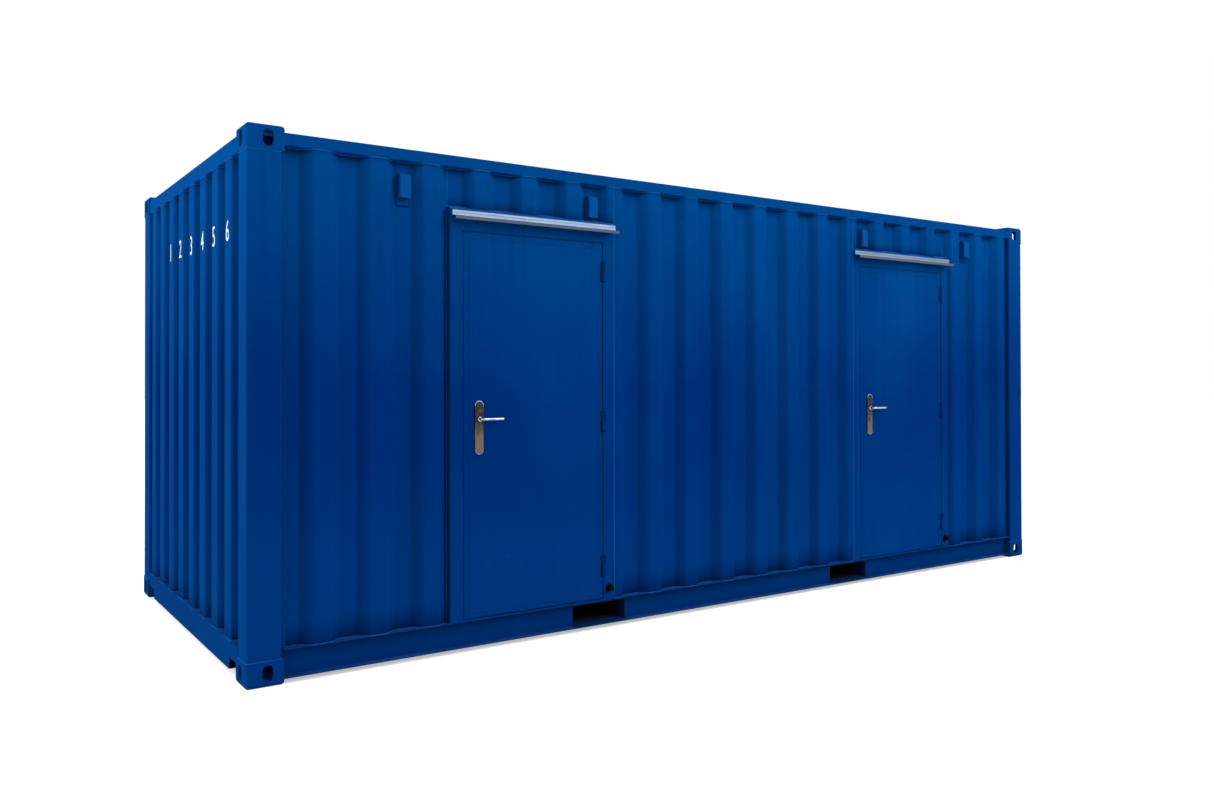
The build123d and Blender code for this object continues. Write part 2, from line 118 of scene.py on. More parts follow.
def surface(add, inputs, relief=None, strength=1.0, depth=0.0, **under):
    # the shader from its inputs, with a relief that is at most `depth` metres deep
    if relief is not None:
        bump = {"Height": relief, "Strength": strength, "Distance": depth, **under}
        inputs["Normal"] = add("ShaderNodeBump", bump)
    add("ShaderNodeOutputMaterial", (add("ShaderNodeBsdfPrincipled", inputs),))


enamel = {
    # "low" and "blue" by height and "ends" on end-facing faces are painted light and shade; "deep"
    # darkens the rain runs and is painted shade on the rails
    "middle": "#002c6f", "low": "#003477", "ends": "#003770", "blue": "#004182",
    "faded": "#004b8c", "deep": "#002e6a", "dustAndHighlightTone": "#5684b2", "chip": "#7c9cb8",
    # "edge" is a painted highlight on beads and vent hoods; "groove" is painted shade on the vents'
    # screws and sealant
    "edge": "#2272c2", "groove": "#001540",
    "paintedLightLowHeights": (1.0, 0.35), "paintedLightHighHeights": (1.35, 2.35), "dustAndHighlightHeights": (0.3, 2.4),
    "paintedLightEndFacing": (0.75, 0.95), "ledgeFacing": (0.75, 1.0), "upFacing": (0.5, 0.9),
    "fadePatch": 0.9, "fadeStretch": 1.6, "fadeDrift": 0.18, "runWidth": 0.05, "runLength": 1.6,
    "dustAndHighlightPatch": 0.3, "chipEvery": 0.55, "chipSize": 0.0030, "chipRim": 0.006,
    "peel": 0.012, "peelDepth": 0.00014, "wave": 0.22, "waveStretch": 2.2, "waveDepth": 0.0008,
    "glossPatch": 0.25, "roughness": (0.84, 0.94), "specular": 0.006, "sheen": "#6fb0ff",
}


def enamelPaint(name, worn=1.0, paintedHighlightAndShade=None, share=0.0):
    # alkyd enamel sprayed over steel plate, chalked by weather: deep even blue with orange peel,
    # too dull to mirror the pale surroundings on the ends, which are seen nearly edge on;
    # painted light and shade: lighter towards the top and a little lighter low down, deepest at
    # half height on the long sides, and lighter on faces that look endways; dusty on ledges,
    # where the dust's pale blue is also a painted highlight, with a few stone chips
    e = enamel
    material, add, place = newMaterial(name)
    spot = add("ShaderNodeSeparateXYZ", (place,)).outputs
    facing = add("ShaderNodeSeparateXYZ", (
        add("ShaderNodeNewGeometry").outputs["Normal"],)).outputs
    fade = grain(add, place, e["fadePatch"], (1, 1, e["fadeStretch"]), 3)
    runs = grain(add, place, e["runWidth"], (1, 1, e["runLength"] / e["runWidth"]), 3)
    drift = (fade, 0.3, 0.7, -e["fadeDrift"], e["fadeDrift"])
    height = add("ShaderNodeMath", (spot["Z"], drift), operation="ADD")
    # faces that look endways are painted lighter: painted light
    endwaysLit = add("ShaderNodeMath", (facing["X"],), operation="ABSOLUTE")

    # dust settles on what faces up, most of it high on the box; its pale blue there is also a
    # painted highlight
    ledge = (facing["Z"], *e["ledgeFacing"])
    higher = (spot["Z"], *e["dustAndHighlightHeights"], 0.45, 1.0)
    upFacingDustAndHighlight = add("ShaderNodeMath", (ledge, higher), operation="MULTIPLY")
    patches = grain(add, place, e["dustAndHighlightPatch"], detail=5)
    dustAndHighlightFilm = (patches, 0.35, 0.7, 0.08, 0.30)
    dustAndHighlight = add("ShaderNodeMath", (upFacingDustAndHighlight, dustAndHighlightFilm), operation="MULTIPLY")

    chip = e["chipSize"] / e["chipEvery"]
    cells = add("ShaderNodeTexVoronoi", {"Vector": place, "Scale": 1 / e["chipEvery"]})
    dot = (cells, chip, chip * 0.6)
    rim = (grain(add, place, e["chipRim"]), 0.42, 0.5, 0, worn)
    ragged = add("ShaderNodeMath", (dot, rim), operation="MULTIPLY")

    coats = [
        ((height, *e["paintedLightLowHeights"]), e["low"]),
        ((endwaysLit, *e["paintedLightEndFacing"]), e["ends"]),
        ((height, *e["paintedLightHighHeights"]), e["blue"]),
        ((fade, 0.48, 0.75, 0, 0.25), e["faded"]),
        ((runs, 0.52, 0.78, 0, 0.35 * worn), e["deep"]),
        (dustAndHighlight, e["dustAndHighlightTone"]), (ragged, e["chip"]),
    ]
    # the chosen colour, lighter on beads and vent hoods and darker on rails, screws and sealant, is
    # painted highlight and shade on faces that don't look up
    if paintedHighlightAndShade:  # on faces that don't look up
        coats.append(((facing["Z"], *e["upFacing"], share, 0), e[paintedHighlightAndShade]))

    gloss = (grain(add, place, e["glossPatch"], detail=4), 0.3, 0.75, *e["roughness"])
    # the real peel is about 2 mm across; it is drawn coarser, so that it shows at all
    peel = add("ShaderNodeBump", {
        "Height": grain(add, place, e["peel"], detail=1), "Strength": 1.0,
        "Distance": e["peelDepth"]})
    surface(add, {
        "Base Color": coated(add, e["middle"], coats),
        "Roughness": add("ShaderNodeMath", (gloss, dustAndHighlight), operation="ADD"),
        "IOR": 1.5, "Specular IOR Level": e["specular"], "Specular Tint": hexColour(e["sheen"]),
    }, relief=grain(add, place, e["wave"], (1, 1, e["waveStretch"]), 1), depth=e["waveDepth"],
        Normal=peel)
    return material


bitumen = {"brown": "#16130f", "dry": "#2c2823", "blue": "#052c5c", "dryPatch": 0.08,
           "mouth": (1.05, 1.165), "spray": 0.03, "sprayDrift": 0.012, "grit": 0.01}


def underbodyCoat(name):
    # wax-bitumen underbody coat: dull dark brown, dusty, with the wall's blue oversprayed
    # at the mouths of the pockets
    b = bitumen
    material, add, place = newMaterial(name)
    dry = (grain(add, place, b["dryPatch"], detail=6), 0.4, 0.7, 0, 0.6)
    aside = add("ShaderNodeSeparateXYZ", (place,)).outputs["Y"]
    side = add("ShaderNodeMath", (aside,), operation="ABSOLUTE")
    spray = grain(add, place, b["spray"])
    drift = (spray, 0.3, 0.7, -b["sprayDrift"], b["sprayDrift"])
    edge = add("ShaderNodeMath", (side, drift), operation="ADD")
    blue = add("ShaderNodeMapRange", (edge, *b["mouth"]))
    surface(add, {
        "Base Color": coated(add, b["brown"], [(dry, b["dry"]), (blue, b["blue"])]),
        "Roughness": (blue, 0, 1, 0.82, 0.55),
        "Specular IOR Level": 0.05,
    }, relief=grain(add, place, b["grit"], detail=5), strength=0.7, depth=0.001)
    return material


plywood = {"light": "#8a6440", "dark": "#5d3f26", "seam": "#20150d", "board": (1.22, 0.58),
           "gap": 0.003, "fibre": 0.006, "fibreStretch": 60, "patch": 0.5}


def marinePly(name):
    # 28 mm marine plywood: reddish veneer with long grain, scuffed, dark joints between boards
    p = plywood
    material, add, place = newMaterial(name)
    fibre = grain(add, place, p["fibre"], (p["fibreStretch"], 1, 1), 4, 0.6)
    patch = grain(add, place, p["patch"], detail=4)
    long, broad = p["board"]
    seams = add("ShaderNodeTexBrick", {
        "Vector": place, "Scale": 1.0, "Mortar Size": p["gap"], "Mortar Smooth": 0.1,
        "Brick Width": long, "Row Height": broad}, offset=0.5).outputs["Fac"]
    sunk = add("ShaderNodeMath", ((fibre, 0, 1, 0, 0.2), seams), operation="SUBTRACT")
    coats = [((fibre, 0.3, 0.7), p["dark"]), ((patch, 0.35, 0.75, 0, 0.4), p["dark"]),
             (seams, p["seam"])]
    surface(add, {
        "Base Color": coated(add, p["light"], coats), "Roughness": (patch, 0.3, 0.7, 0.5, 0.75),
    }, relief=sunk, strength=0.6, depth=0.001)
    return material


satin = {"low": "#5e524b", "high": "#2b2927", "scuff": "#857970", "darkerHeight": (1.10, 1.20),
         "darkerDrift": 0.05, "touch": 0.03, "line": 0.0012, "lineStretch": 60}


def satinSteel(name):
    # satin stainless steel plate, linished lengthwise: soft brown-grey, darker from about the
    # lever's height upwards, with paler scuffs
    s = satin
    material, add, place = newMaterial(name)
    lines = grain(add, place, s["line"], (1, 1, s["lineStretch"]), 2, 0.6)
    touched = grain(add, place, s["touch"], (1, 1, 2), 5, 0.6)
    drift = (touched, 0.3, 0.7, -s["darkerDrift"], s["darkerDrift"])
    height = add("ShaderNodeSeparateXYZ", (place,)).outputs["Z"]
    level = add("ShaderNodeMath", (height, drift), operation="ADD")
    scuffs = add("ShaderNodeMath", (
        (touched, 0.55, 0.75, 0, 0.5), (lines, 0.45, 0.6)), operation="MULTIPLY")
    coats = [((level, *s["darkerHeight"]), s["high"]), (scuffs, s["scuff"])]
    surface(add, {
        "Base Color": coated(add, s["low"], coats), "Metallic": 1.0,
        "Roughness": (lines, 0.3, 0.7, 0.34, 0.48),
    }, relief=lines, strength=0.5, depth=0.0001)
    return material


bright = {"steel": "#a8aab6", "dull": "#7c7b84", "line": 0.0012, "lineStretch": 60, "grip": 0.02}


def brightSteel(name):
    # polished stainless bar: near-white with fine lengthwise lines, dulled where it is gripped
    b = bright
    material, add, place = newMaterial(name)
    lines = grain(add, place, b["line"], (b["lineStretch"], 1, 1), 2, 0.6)
    gripped = grain(add, place, b["grip"], (2, 1, 1), 4)
    surface(add, {
        "Base Color": coated(add, b["steel"], [((gripped, 0.45, 0.75), b["dull"])]),
        "Metallic": 1.0, "Roughness": (lines, 0.3, 0.7, 0.16, 0.28),
    }, relief=lines, strength=0.3, depth=0.0001)
    return material


hinges = {"pins": (-1.042, 2.005), "barrel": 0.0092, "edge": 0.0004, "dark": "#002a64",
          "worn": 0.02}


def hingeShadePaint(name):
    # lift-off hinge barrels painted nearly navy, a painted shade; their wings as the door
    h = hinges
    material, add, place = newMaterial(name)
    across = add("ShaderNodeSeparateXYZ", (place,)).outputs["X"]
    aside = [add("ShaderNodeMath", (across, pin), operation="SUBTRACT") for pin in h["pins"]]
    away = [add("ShaderNodeMath", (gap,), operation="ABSOLUTE") for gap in aside]
    nearest = add("ShaderNodeMath", away, operation="MINIMUM")
    worn = grain(add, place, h["worn"], detail=5)
    coats = [((nearest, h["barrel"], h["barrel"] + h["edge"]), enamel["middle"]),
             ((worn, 0.55, 0.8, 0, 0.3), enamel["blue"])]
    surface(add, {
        "Base Color": coated(add, h["dark"], coats), "Roughness": (worn, 0.3, 0.7, 0.45, 0.6),
        "IOR": 1.5, "Specular IOR Level": enamel["specular"],
    }, relief=worn, strength=0.4, depth=0.0002)
    return material


mill = {"flange": "#6d7c96", "ridge": "#8494a4", "stain": "#556170", "lip": "#4c5661",
        "lipTop": 2.2515, "lipEdge": 0.0006, "lipDrift": 0.0008,
        "line": 0.0015, "lineStretch": 150, "patch": 0.03, "patchStretch": (4, 1, 0.6)}


def millAluminium(name):
    # extruded mill-finish aluminium: cool pale grey drawn lengthwise, with weather stains,
    # and a darker grey on the tray and lip, which is painted shade with some road dirt
    m = mill
    material, add, place = newMaterial(name)
    lines = grain(add, place, m["line"], (m["lineStretch"], 1, 1), 2)
    stain = grain(add, place, m["patch"], m["patchStretch"], 6, 0.65)
    drift = (stain, 0.3, 0.7, -m["lipDrift"], m["lipDrift"])
    height = add("ShaderNodeSeparateXYZ", (place,)).outputs["Z"]
    level = add("ShaderNodeMath", (height, drift), operation="ADD")
    lipShadeAndDirt = add("ShaderNodeMapRange", (
        level, m["lipTop"] + m["lipEdge"], m["lipTop"] - m["lipEdge"], 0, 0.85))
    coats = [((lines, 0.4, 0.7, 0, 0.4), m["ridge"]), ((stain, 0.5, 0.72, 0, 0.6), m["stain"]),
             (lipShadeAndDirt, m["lip"])]
    surface(add, {
        "Base Color": coated(add, m["flange"], coats), "Metallic": 1.0,
        "Roughness": (lipShadeAndDirt, 0, 1, 0.40, 0.65),
    }, relief=lines, strength=0.4, depth=0.0001)
    return material


rubber = {"black": "#040506", "rubbed": "#0e1216", "rub": 0.012, "mould": 0.0015}


def mouldedRubber(name):
    # black EPDM rubber, moulded: dull, faintly grey where it is rubbed
    r = rubber
    material, add, place = newMaterial(name)
    rubbed = grain(add, place, r["rub"], detail=5)
    surface(add, {
        "Base Color": coated(add, r["black"], [((rubbed, 0.45, 0.75), r["rubbed"])]),
        "Roughness": (rubbed, 0.3, 0.7, 0.6, 0.8),
        "IOR": 1.52, "Specular IOR Level": 0.04,
    }, relief=grain(add, place, r["mould"]), strength=0.3, depth=0.0003)
    return material


stencil = {"white": "#dfe5ee", "through": "#5f86b8", "wear": 0.018}


def stencilPaint(name):
    # white stencil paint, thin and a little worn through to the blue
    material, add, place = newMaterial(name)
    worn = add("ShaderNodeMapRange", (
        grain(add, place, stencil["wear"], detail=6, rough=0.7), 0.56, 0.66))
    surface(add, {
        "Base Color": coated(add, stencil["white"], [(worn, stencil["through"])]),
        "Roughness": (worn, 0, 1, 0.55, 0.4),
    }, relief=worn, strength=0.3, depth=0.0002)
    return material


zinc = {"plate": "#a9adb3", "dull": "#6b6f75", "patch": 0.004}


def zincPlate(name):
    # zinc-plated screw steel, dulled grey
    material, add, place = newMaterial(name)
    dull = grain(add, place, zinc["patch"], detail=4)
    surface(add, {
        "Base Color": coated(add, zinc["plate"], [((dull, 0.35, 0.7), zinc["dull"])]),
        "Metallic": 1.0, "Roughness": (dull, 0.3, 0.7, 0.3, 0.5)})
    return material


paintedSteel = enamelPaint("blueEnamelOnSteel")
bottomCoat = underbodyCoat("bitumenUnderbodyCoat")
floorPly = marinePly("marinePlywood")
# pale blue on the beads' faces that don't look up: a painted highlight
beadHighlightPaint = enamelPaint("blueEnamelOnBeadsPaintedHighlight", 0.0, "edge", 0.30)
# deep blue on the rails' faces that don't look up: painted shade under the top flange
railShadePaint = enamelPaint("blueEnamelOnRailsPaintedShade", 1.0, "deep", 0.55)
# near-black blue on faces that don't look up: painted shade, for the vents' screws and sealant
nearBlackShadePaint = enamelPaint("blueEnamelPaintedShade", 0.0, "groove", 0.65)
lockSteel = satinSteel("satinStainlessSteel")
leverSteel = brightSteel("polishedStainlessSteel")
# a paler blue on the hoods' faces that don't look up: a painted highlight
ventHighlightPaint = enamelPaint("blueEnamelOnVentsPaintedHighlight", 0.3, "edge", 0.16)
hingeShadeCoat = hingeShadePaint("hingeSteelPaintedShade")
gutterMetal = millAluminium("millAluminium")
blackRubber = mouldedRubber("mouldedBlackRubber")
whiteStencil = stencilPaint("whiteStencilPaint")
screwZinc = zincPlate("zincPlatedSteel")

slotFinish = {
    "container_paint": paintedSteel, "underframe_paint": bottomCoat, "floor_plywood": floorPly,
    "lock_steel": lockSteel, "gutter_aluminium": gutterMetal, "stop_rubber": blackRubber,
}
for row in nodeRows:
    finish = slotFinish[row["material_slot"]]
    if "hinges" in row["node"]:
        finish = hingeShadeCoat
    elif row["node"].startswith("bottom_rail"):
        finish = railShadePaint
    nodes[row["node"]].data.materials.clear()
    nodes[row["node"]].data.materials.append(finish)
print("finishes made:", len(bpy.data.materials))


def meshFrom(shape, smoothAngle):
    # bmesh to mesh, its sharp edges marked by angle in degrees
    mesh = bpy.data.meshes.new("piece")
    bmesh.ops.recalc_face_normals(shape, faces=shape.faces)
    for face in shape.faces:
        face.smooth = True
    for edge in shape.edges:
        if len(edge.link_faces) == 2 and edge.calc_face_angle(0) > math.radians(smoothAngle):
            edge.smooth = False
    shape.to_mesh(mesh)
    shape.free()
    return mesh


def addPiece(name, made, material=None, body="root", replaced=(),
             smoothAngle=35):
    # a finished mesh or bmesh into the scene; a mesh without a material has its own already
    mesh = made if isinstance(made, bpy.types.Mesh) else meshFrom(made, smoothAngle)
    mesh.name = name
    if material is not None:
        mesh.materials.clear()
        mesh.materials.append(material)
    piece = bpy.data.objects.new(name, mesh)
    scene.collection.objects.link(piece)
    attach(piece, body)
    if replaced:
        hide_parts(*replaced)


def bridge(shape, rings):
    # faces between each ring of corners and the next; a ring of one corner closes the end
    for a, b in zip(rings, rings[1:]):
        count = max(len(a), len(b))
        for k in range(count):
            m = (k + 1) % count
            corners = [a[k % len(a)], a[m % len(a)], b[m % len(b)], b[k % len(b)]]
            corners = [v for i, v in enumerate(corners) if v not in corners[:i]]
            if len(corners) > 2:
                shape.faces.new(corners)


def prism(shape, outline, along, start, end):
    # closed outline in the plane across `along`, pushed from start to end
    def corner(a, b, c):
        return {"X": (c, a, b), "Y": (a, c, b), "Z": (a, b, c)}[along]
    first = [shape.verts.new(corner(a, b, start)) for a, b in outline]
    last = [shape.verts.new(corner(a, b, end)) for a, b in outline]
    shape.faces.new(first)
    shape.faces.new(last)
    bridge(shape, [first, last])


def tube(shape, points, radii, sides=16, closed=False):
    # round bar along points, its radius given at each; ends closed
    points = [Vector(p) for p in points]
    rings, count = [], len(points)
    turns = [2 * math.pi * k / sides for k in range(sides)]
    for i, point in enumerate(points):
        before = points[i - 1] if i or closed else point
        after = points[(i + 1) % count] if i < count - 1 or closed else point
        heading = (after - before).normalized()
        side = heading.cross(Vector((0, 0, 1)))
        if side.length < 1e-3:  # the bar stands upright here
            side = heading.cross(Vector((0, 1, 0)))
        side.normalize()
        over = side.cross(heading)
        rings.append([shape.verts.new(point + radii[i] * (math.cos(t) * side + math.sin(t) * over))
                      for t in turns])
    bridge(shape, rings + rings[:1] if closed else rings)
    if not closed:
        shape.faces.new(rings[0])
        shape.faces.new(list(reversed(rings[-1])))


def lathe(shape, profile, centre, sides=32):
    # profile of (radius, distance out of the front) turned round an axis across the wall;
    # radius 0 closes an end
    rings, turns = [], [2 * math.pi * k / sides for k in range(sides)]
    for radius, out in profile:
        middle = Vector(centre) + Vector((0, -out, 0))
        rings.append([shape.verts.new(middle + radius * Vector((math.cos(t), 0, math.sin(t))))
                      for t in (turns if radius else turns[:1])])
    bridge(shape, rings)


def joinInto(shape, part):
    # moves a finished part's faces into a larger mesh
    held = bpy.data.meshes.new("held")
    part.to_mesh(held)
    part.free()
    shape.from_mesh(held)
    bpy.data.meshes.remove(held)


def newTree(name, inputs, source=None):
    # a node group with a named input for each size and material, which it starts from; gives
    # back the tree, what adds its nodes, and its inputs' sockets
    tree = bpy.data.node_groups.new(name, "GeometryNodeTree")
    tree.interface.new_socket("Made", in_out="OUTPUT", socket_type="NodeSocketGeometry")
    if source:
        tree.interface.new_socket(source, in_out="INPUT", socket_type="NodeSocketGeometry")
    for label, default in inputs.items():
        kind = {float: "Float", int: "Int"}.get(type(default), "Material")
        socket = tree.interface.new_socket(label, in_out="INPUT", socket_type=f"NodeSocket{kind}")
        socket.default_value = default
    add = partial(addNode, tree)
    return tree, add, add("NodeGroupInput").outputs


def endTree(add, geometry, material, **where):
    # instances made real, and the material set last
    real = add("GeometryNodeRealizeInstances", (geometry,))
    painted = add("GeometryNodeSetMaterial", {"Geometry": real, "Material": material, **where})
    add("NodeGroupOutput", (painted,))


def lumpyBead(add, given, curve, swing, least, sides, **spot):
    # round bead along a curve, which swells and thins from `least` to swing + least
    fine = add("ShaderNodeMath", (1.0, given["Bead lumps"]), operation="DIVIDE")
    lumps = add("ShaderNodeTexNoise", {"Scale": fine, "Detail": 1.0, **spot})
    swell = add("ShaderNodeMath", (lumps, swing, least), operation="MULTIPLY_ADD")
    thick = add("ShaderNodeMath", (given["Bead"], swell), operation="MULTIPLY")
    ring = add("GeometryNodeCurvePrimitiveCircle", {"Resolution": sides, "Radius": 1.0})
    bead = add("GeometryNodeCurveToMesh", {
        "Curve": curve, "Profile Curve": ring, "Scale": thick, "Fill Caps": True})
    return add("GeometryNodeSetShadeSmooth", {"Geometry": bead, "Shade Smooth": True})


def grown(tree, values, source=None):
    # the tree's result as a plain mesh, its inputs set by socket identifier first
    carrier = bpy.data.objects.new("carrier", source or bpy.data.meshes.new("carrier"))
    scene.collection.objects.link(carrier)
    modifier = carrier.modifiers.new("grown", "NODES")
    modifier.node_group = tree
    for item in tree.interface.items_tree:
        if item.in_out == "INPUT" and item.name in values:
            modifier[item.identifier] = values[item.name]
    carrier.update_tag()
    graph = bpy.context.evaluated_depsgraph_get()
    mesh = bpy.data.meshes.new_from_object(
        carrier.evaluated_get(graph), preserve_all_data_layers=True, depsgraph=graph)
    bpy.data.objects.remove(carrier)
    return mesh


sheets = {
    "common": {
        "Softness": 0.10, "Plate": 0.002, "Ripple": 0.0011, "Ripple size": 0.42,
        "Bead": 0.0042, "Bead lumps": 0.022, "Rows": 20,
        # the beads take the pale bead paint, a painted highlight
        "Material": paintedSteel, "Bead material": beadHighlightPaint},
    "side": {"First crest": 0.358, "Pitch": 0.2855, "Crest": 0.084, "Slope": 0.056,
             "Depth": 0.042, "Last index": 19, "Column": 0.007},
    "end": {"First crest": 0.359, "Pitch": 0.2575, "Crest": 0.112, "Slope": 0.018,
            "Depth": 0.045, "Last index": 7, "Column": 0.005},
    "sideSetback": 0.006, "endSetback": 0.012,
    "hoodTop": 2.284, "hoodRise": 0.022, "hoodRun": 0.062, "hoodProud": 0.020, "hoodRows": 4,
    "places": (  # name, node, wall, mirrored, over a door, seed
        ("sheetFrontLeft", "front_wall_left", "side", False, False, 7),
        ("sheetFrontMiddle", "front_wall_middle", "side", False, False, 8),
        ("sheetFrontRight", "front_wall_right", "side", False, False, 9),
        ("sheetBack", "back_wall", "side", True, False, 10),
        ("sheetOverDoor1", "wall_over_door_1", "side", False, True, 11),
        ("sheetOverDoor2", "wall_over_door_2", "side", False, True, 12),
        ("sheetEndLeft", "end_wall_left", "end", True, False, 21),
        ("sheetEndRight", "end_wall_right", "end", False, False, 22)),
}


def pressedSheetTree():
    # flat grid, pushed into crests and troughs with soft bends, given its thickness,
    # with a lumpy weld bead round its border
    tree, add, given = newTree("pressedSheet", {
        **sheets["common"], **sheets["side"], "Start": -1.0, "End": 1.0, "Bottom": 0.0,
        "Top": 2.0, "Foot lift": 0.0, "Foot slope": 0.0, "Seed": 1.0})
    spot = add("ShaderNodeSeparateXYZ", (add("GeometryNodeInputPosition"),)).outputs
    known = {socket.name: socket for socket in given}
    known.update({"x": spot["X"], "y": spot["Y"]})
    for name, operation, *parts in (  # what comes out, and from which inputs and earlier rows
        ("wide", "SUBTRACT", "End", "Start"), ("high", "SUBTRACT", "Top", "Bottom"),
        ("columns", "DIVIDE", "wide", "Column"), ("columns", "CEIL", "columns"),
        ("ends", "ADD", "Start", "End"), ("along", "MULTIPLY_ADD", "ends", 0.5, "x"),
        ("share", "DIVIDE", "y", "high"), ("share", "ADD", "share", 0.5),
        ("left", "SUBTRACT", 1.0, "share"),
        # the nearest crest, and how far beside its flat the corner lies
        ("run", "SUBTRACT", "along", "First crest"), ("step", "DIVIDE", "run", "Pitch"),
        ("step", "ROUND", "step"), ("step", "MAXIMUM", "step", 0.0),
        ("index", "MINIMUM", "step", "Last index"),
        ("middle", "MULTIPLY_ADD", "index", "Pitch", "First crest"),
        ("off", "SUBTRACT", "along", "middle"), ("off", "ABSOLUTE", "off"),
        ("half", "MULTIPLY", "Crest", 0.5), ("beside", "SUBTRACT", "off", "half"),
        # down the slope into the trough, with soft bends
        ("ramp", "DIVIDE", "beside", "Slope"), ("ramp", "SMOOTH_MIN", "ramp", 1.0, "Softness"),
        ("ramp", "SMOOTH_MAX", "ramp", 0.0, "Softness"), ("depth", "MULTIPLY", "ramp", "Depth"),
        # over a door the foot follows the hood's slope
        ("lift", "MULTIPLY_ADD", "depth", "Foot slope", "Foot lift"),
        ("level", "MULTIPLY_ADD", "share", "high", "Bottom"),
        ("level", "MULTIPLY_ADD", "left", "lift", "level"),
        ("fine", "DIVIDE", 1.0, "Ripple size"), ("ripple", "MULTIPLY", "Ripple", 2.0),
        # the ripple fades out at head and foot
        ("fade", "MULTIPLY", "share", "left"), ("fade", "MULTIPLY", "fade", 8.0),
        ("fade", "SMOOTH_MIN", "fade", 1.0, 0.2),
    ):
        known[name] = add(
            "ShaderNodeMath", [known.get(part, part) for part in parts], operation=operation)
    where = add("ShaderNodeCombineXYZ", (known["along"], given["Seed"], known["level"]))
    noise = add("ShaderNodeTexNoise", {"Vector": where, "Scale": known["fine"], "Detail": 2.0})
    swing = add("ShaderNodeMath", (noise, 0.5), operation="SUBTRACT")
    push = add("ShaderNodeMath", (swing, known["ripple"]), operation="MULTIPLY")
    pushed = add("ShaderNodeMath", (push, known["fade"], known["depth"]), operation="MULTIPLY_ADD")
    place = add("ShaderNodeCombineXYZ", (known["along"], pushed, known["level"]))

    flat = add("GeometryNodeMeshGrid", {
        "Size X": known["wide"], "Size Y": known["high"],
        "Vertices X": known["columns"], "Vertices Y": given["Rows"]})
    outside = add("GeometryNodeSetPosition", {"Geometry": flat, "Position": place})
    turned = add("GeometryNodeFlipFaces", {"Mesh": outside})
    inside = add("GeometryNodeExtrudeMesh", {
        "Mesh": turned, "Offset": add("ShaderNodeCombineXYZ", {"Y": given["Plate"]}),
        "Offset Scale": 1.0, "Individual": False}, mode="FACES")
    smoothIn = add("GeometryNodeSetShadeSmooth", {
        "Geometry": inside, "Selection": inside.outputs["Top"], "Shade Smooth": True})
    edgesFlat = add("GeometryNodeSetShadeSmooth", {
        "Geometry": smoothIn, "Selection": inside.outputs["Side"], "Shade Smooth": False})
    smoothOut = add("GeometryNodeSetShadeSmooth", {"Geometry": outside, "Shade Smooth": True})
    shell = add("GeometryNodeJoinGeometry", ([smoothOut, edgesFlat],))
    merged = add("GeometryNodeMergeByDistance", {"Geometry": shell, "Distance": 0.0002})

    rim = add("FunctionNodeCompare", {
        "A": add("GeometryNodeInputMeshEdgeNeighbors"), "B": 1}, data_type="INT", operation="EQUAL")
    seam = add("GeometryNodeMeshToCurve", {"Mesh": outside, "Selection": rim})
    bead = lumpyBead(add, given, seam, swing=1.1, least=0.45, sides=6)
    marked = add("GeometryNodeSetMaterial", {"Geometry": bead, "Material": given["Bead material"]})
    both = add("GeometryNodeJoinGeometry", ([merged, marked],))
    onBead = add("GeometryNodeMaterialSelection", {"Material": given["Bead material"]})
    onSheet = add("FunctionNodeBooleanMath", (onBead,), operation="NOT")
    endTree(add, both, given["Material"], Selection=onSheet)
    return tree


sheetTree = pressedSheetTree()


def pressedSheet(name, node, wall, mirrored, overDoor, seed):
    s = sheets
    low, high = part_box(node)
    values = dict(s["common"], **s[wall], Seed=float(seed), Bottom=general["railTop"], Top=high.z)
    if wall == "side":
        values.update({"Start": low.x, "End": high.x})
        values["First crest"] -= halfLength
        turn = Matrix.Translation((0, -halfWidth + s["sideSetback"], 0))
        across = (0, 1, 0)
    else:
        values.update({"Start": low.y, "End": high.y})
        values["First crest"] -= halfWidth
        turn = Matrix.Translation((halfLength - s["endSetback"], 0, 0))
        turn = turn @ Matrix.Rotation(math.pi / 2, 4, "Z")
        across = (1, 0, 0)
    if overDoor:
        steep = s["hoodRise"] / s["hoodRun"]
        values.update({"Bottom": s["hoodTop"], "Foot lift": s["hoodProud"] * steep,
                       "Foot slope": steep, "Rows": s["hoodRows"]})
    mesh = grown(sheetTree, values)
    mesh.transform(turn)
    if mirrored:
        mesh.transform(Matrix.Scale(-1, 4, across))
        mesh.flip_normals()
    addPiece(name, mesh, replaced=[node])


for place in sheets["places"]:
    pressedSheet(*place)
print("pressed sheets made")

# Weld beads where the posts meet the castings, in the pale bead paint as a painted highlight, and
# the flat laps between posts and sheets
welds = {"bead": {"Bead": 0.0042, "Bead lumps": 0.016, "Step": 0.009},
         "inset": 0.0018, "levels": (0.1195, 2.4715),
         "lapWide": 0.026, "lapFace": 0.034, "lapThick": 0.0045, "lapCorner": 0.002, "under": 0.001}
postBoxes = [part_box(row["node"]) for row in nodeRows if row["node"].startswith("post_")]


def weldTree():
    # a lumpy, half-sunk bead along every edge it is given
    tree, add, given = newTree("weldBead", {
        **welds["bead"], "Seed": 1.0, "Material": beadHighlightPaint}, "Lines")
    lines = add("GeometryNodeMeshToCurve", {"Mesh": given["Lines"]})
    even = add("GeometryNodeResampleCurve", {
        "Curve": lines, "Length": given["Step"]}, mode="LENGTH")
    aside = add("ShaderNodeCombineXYZ", {"X": given["Seed"]})
    moved = add("ShaderNodeVectorMath", (
        add("GeometryNodeInputPosition"), aside), operation="ADD")
    bead = lumpyBead(add, given, even, swing=0.9, least=0.55, sides=8, Vector=moved)
    endTree(add, bead, given["Material"])
    return tree


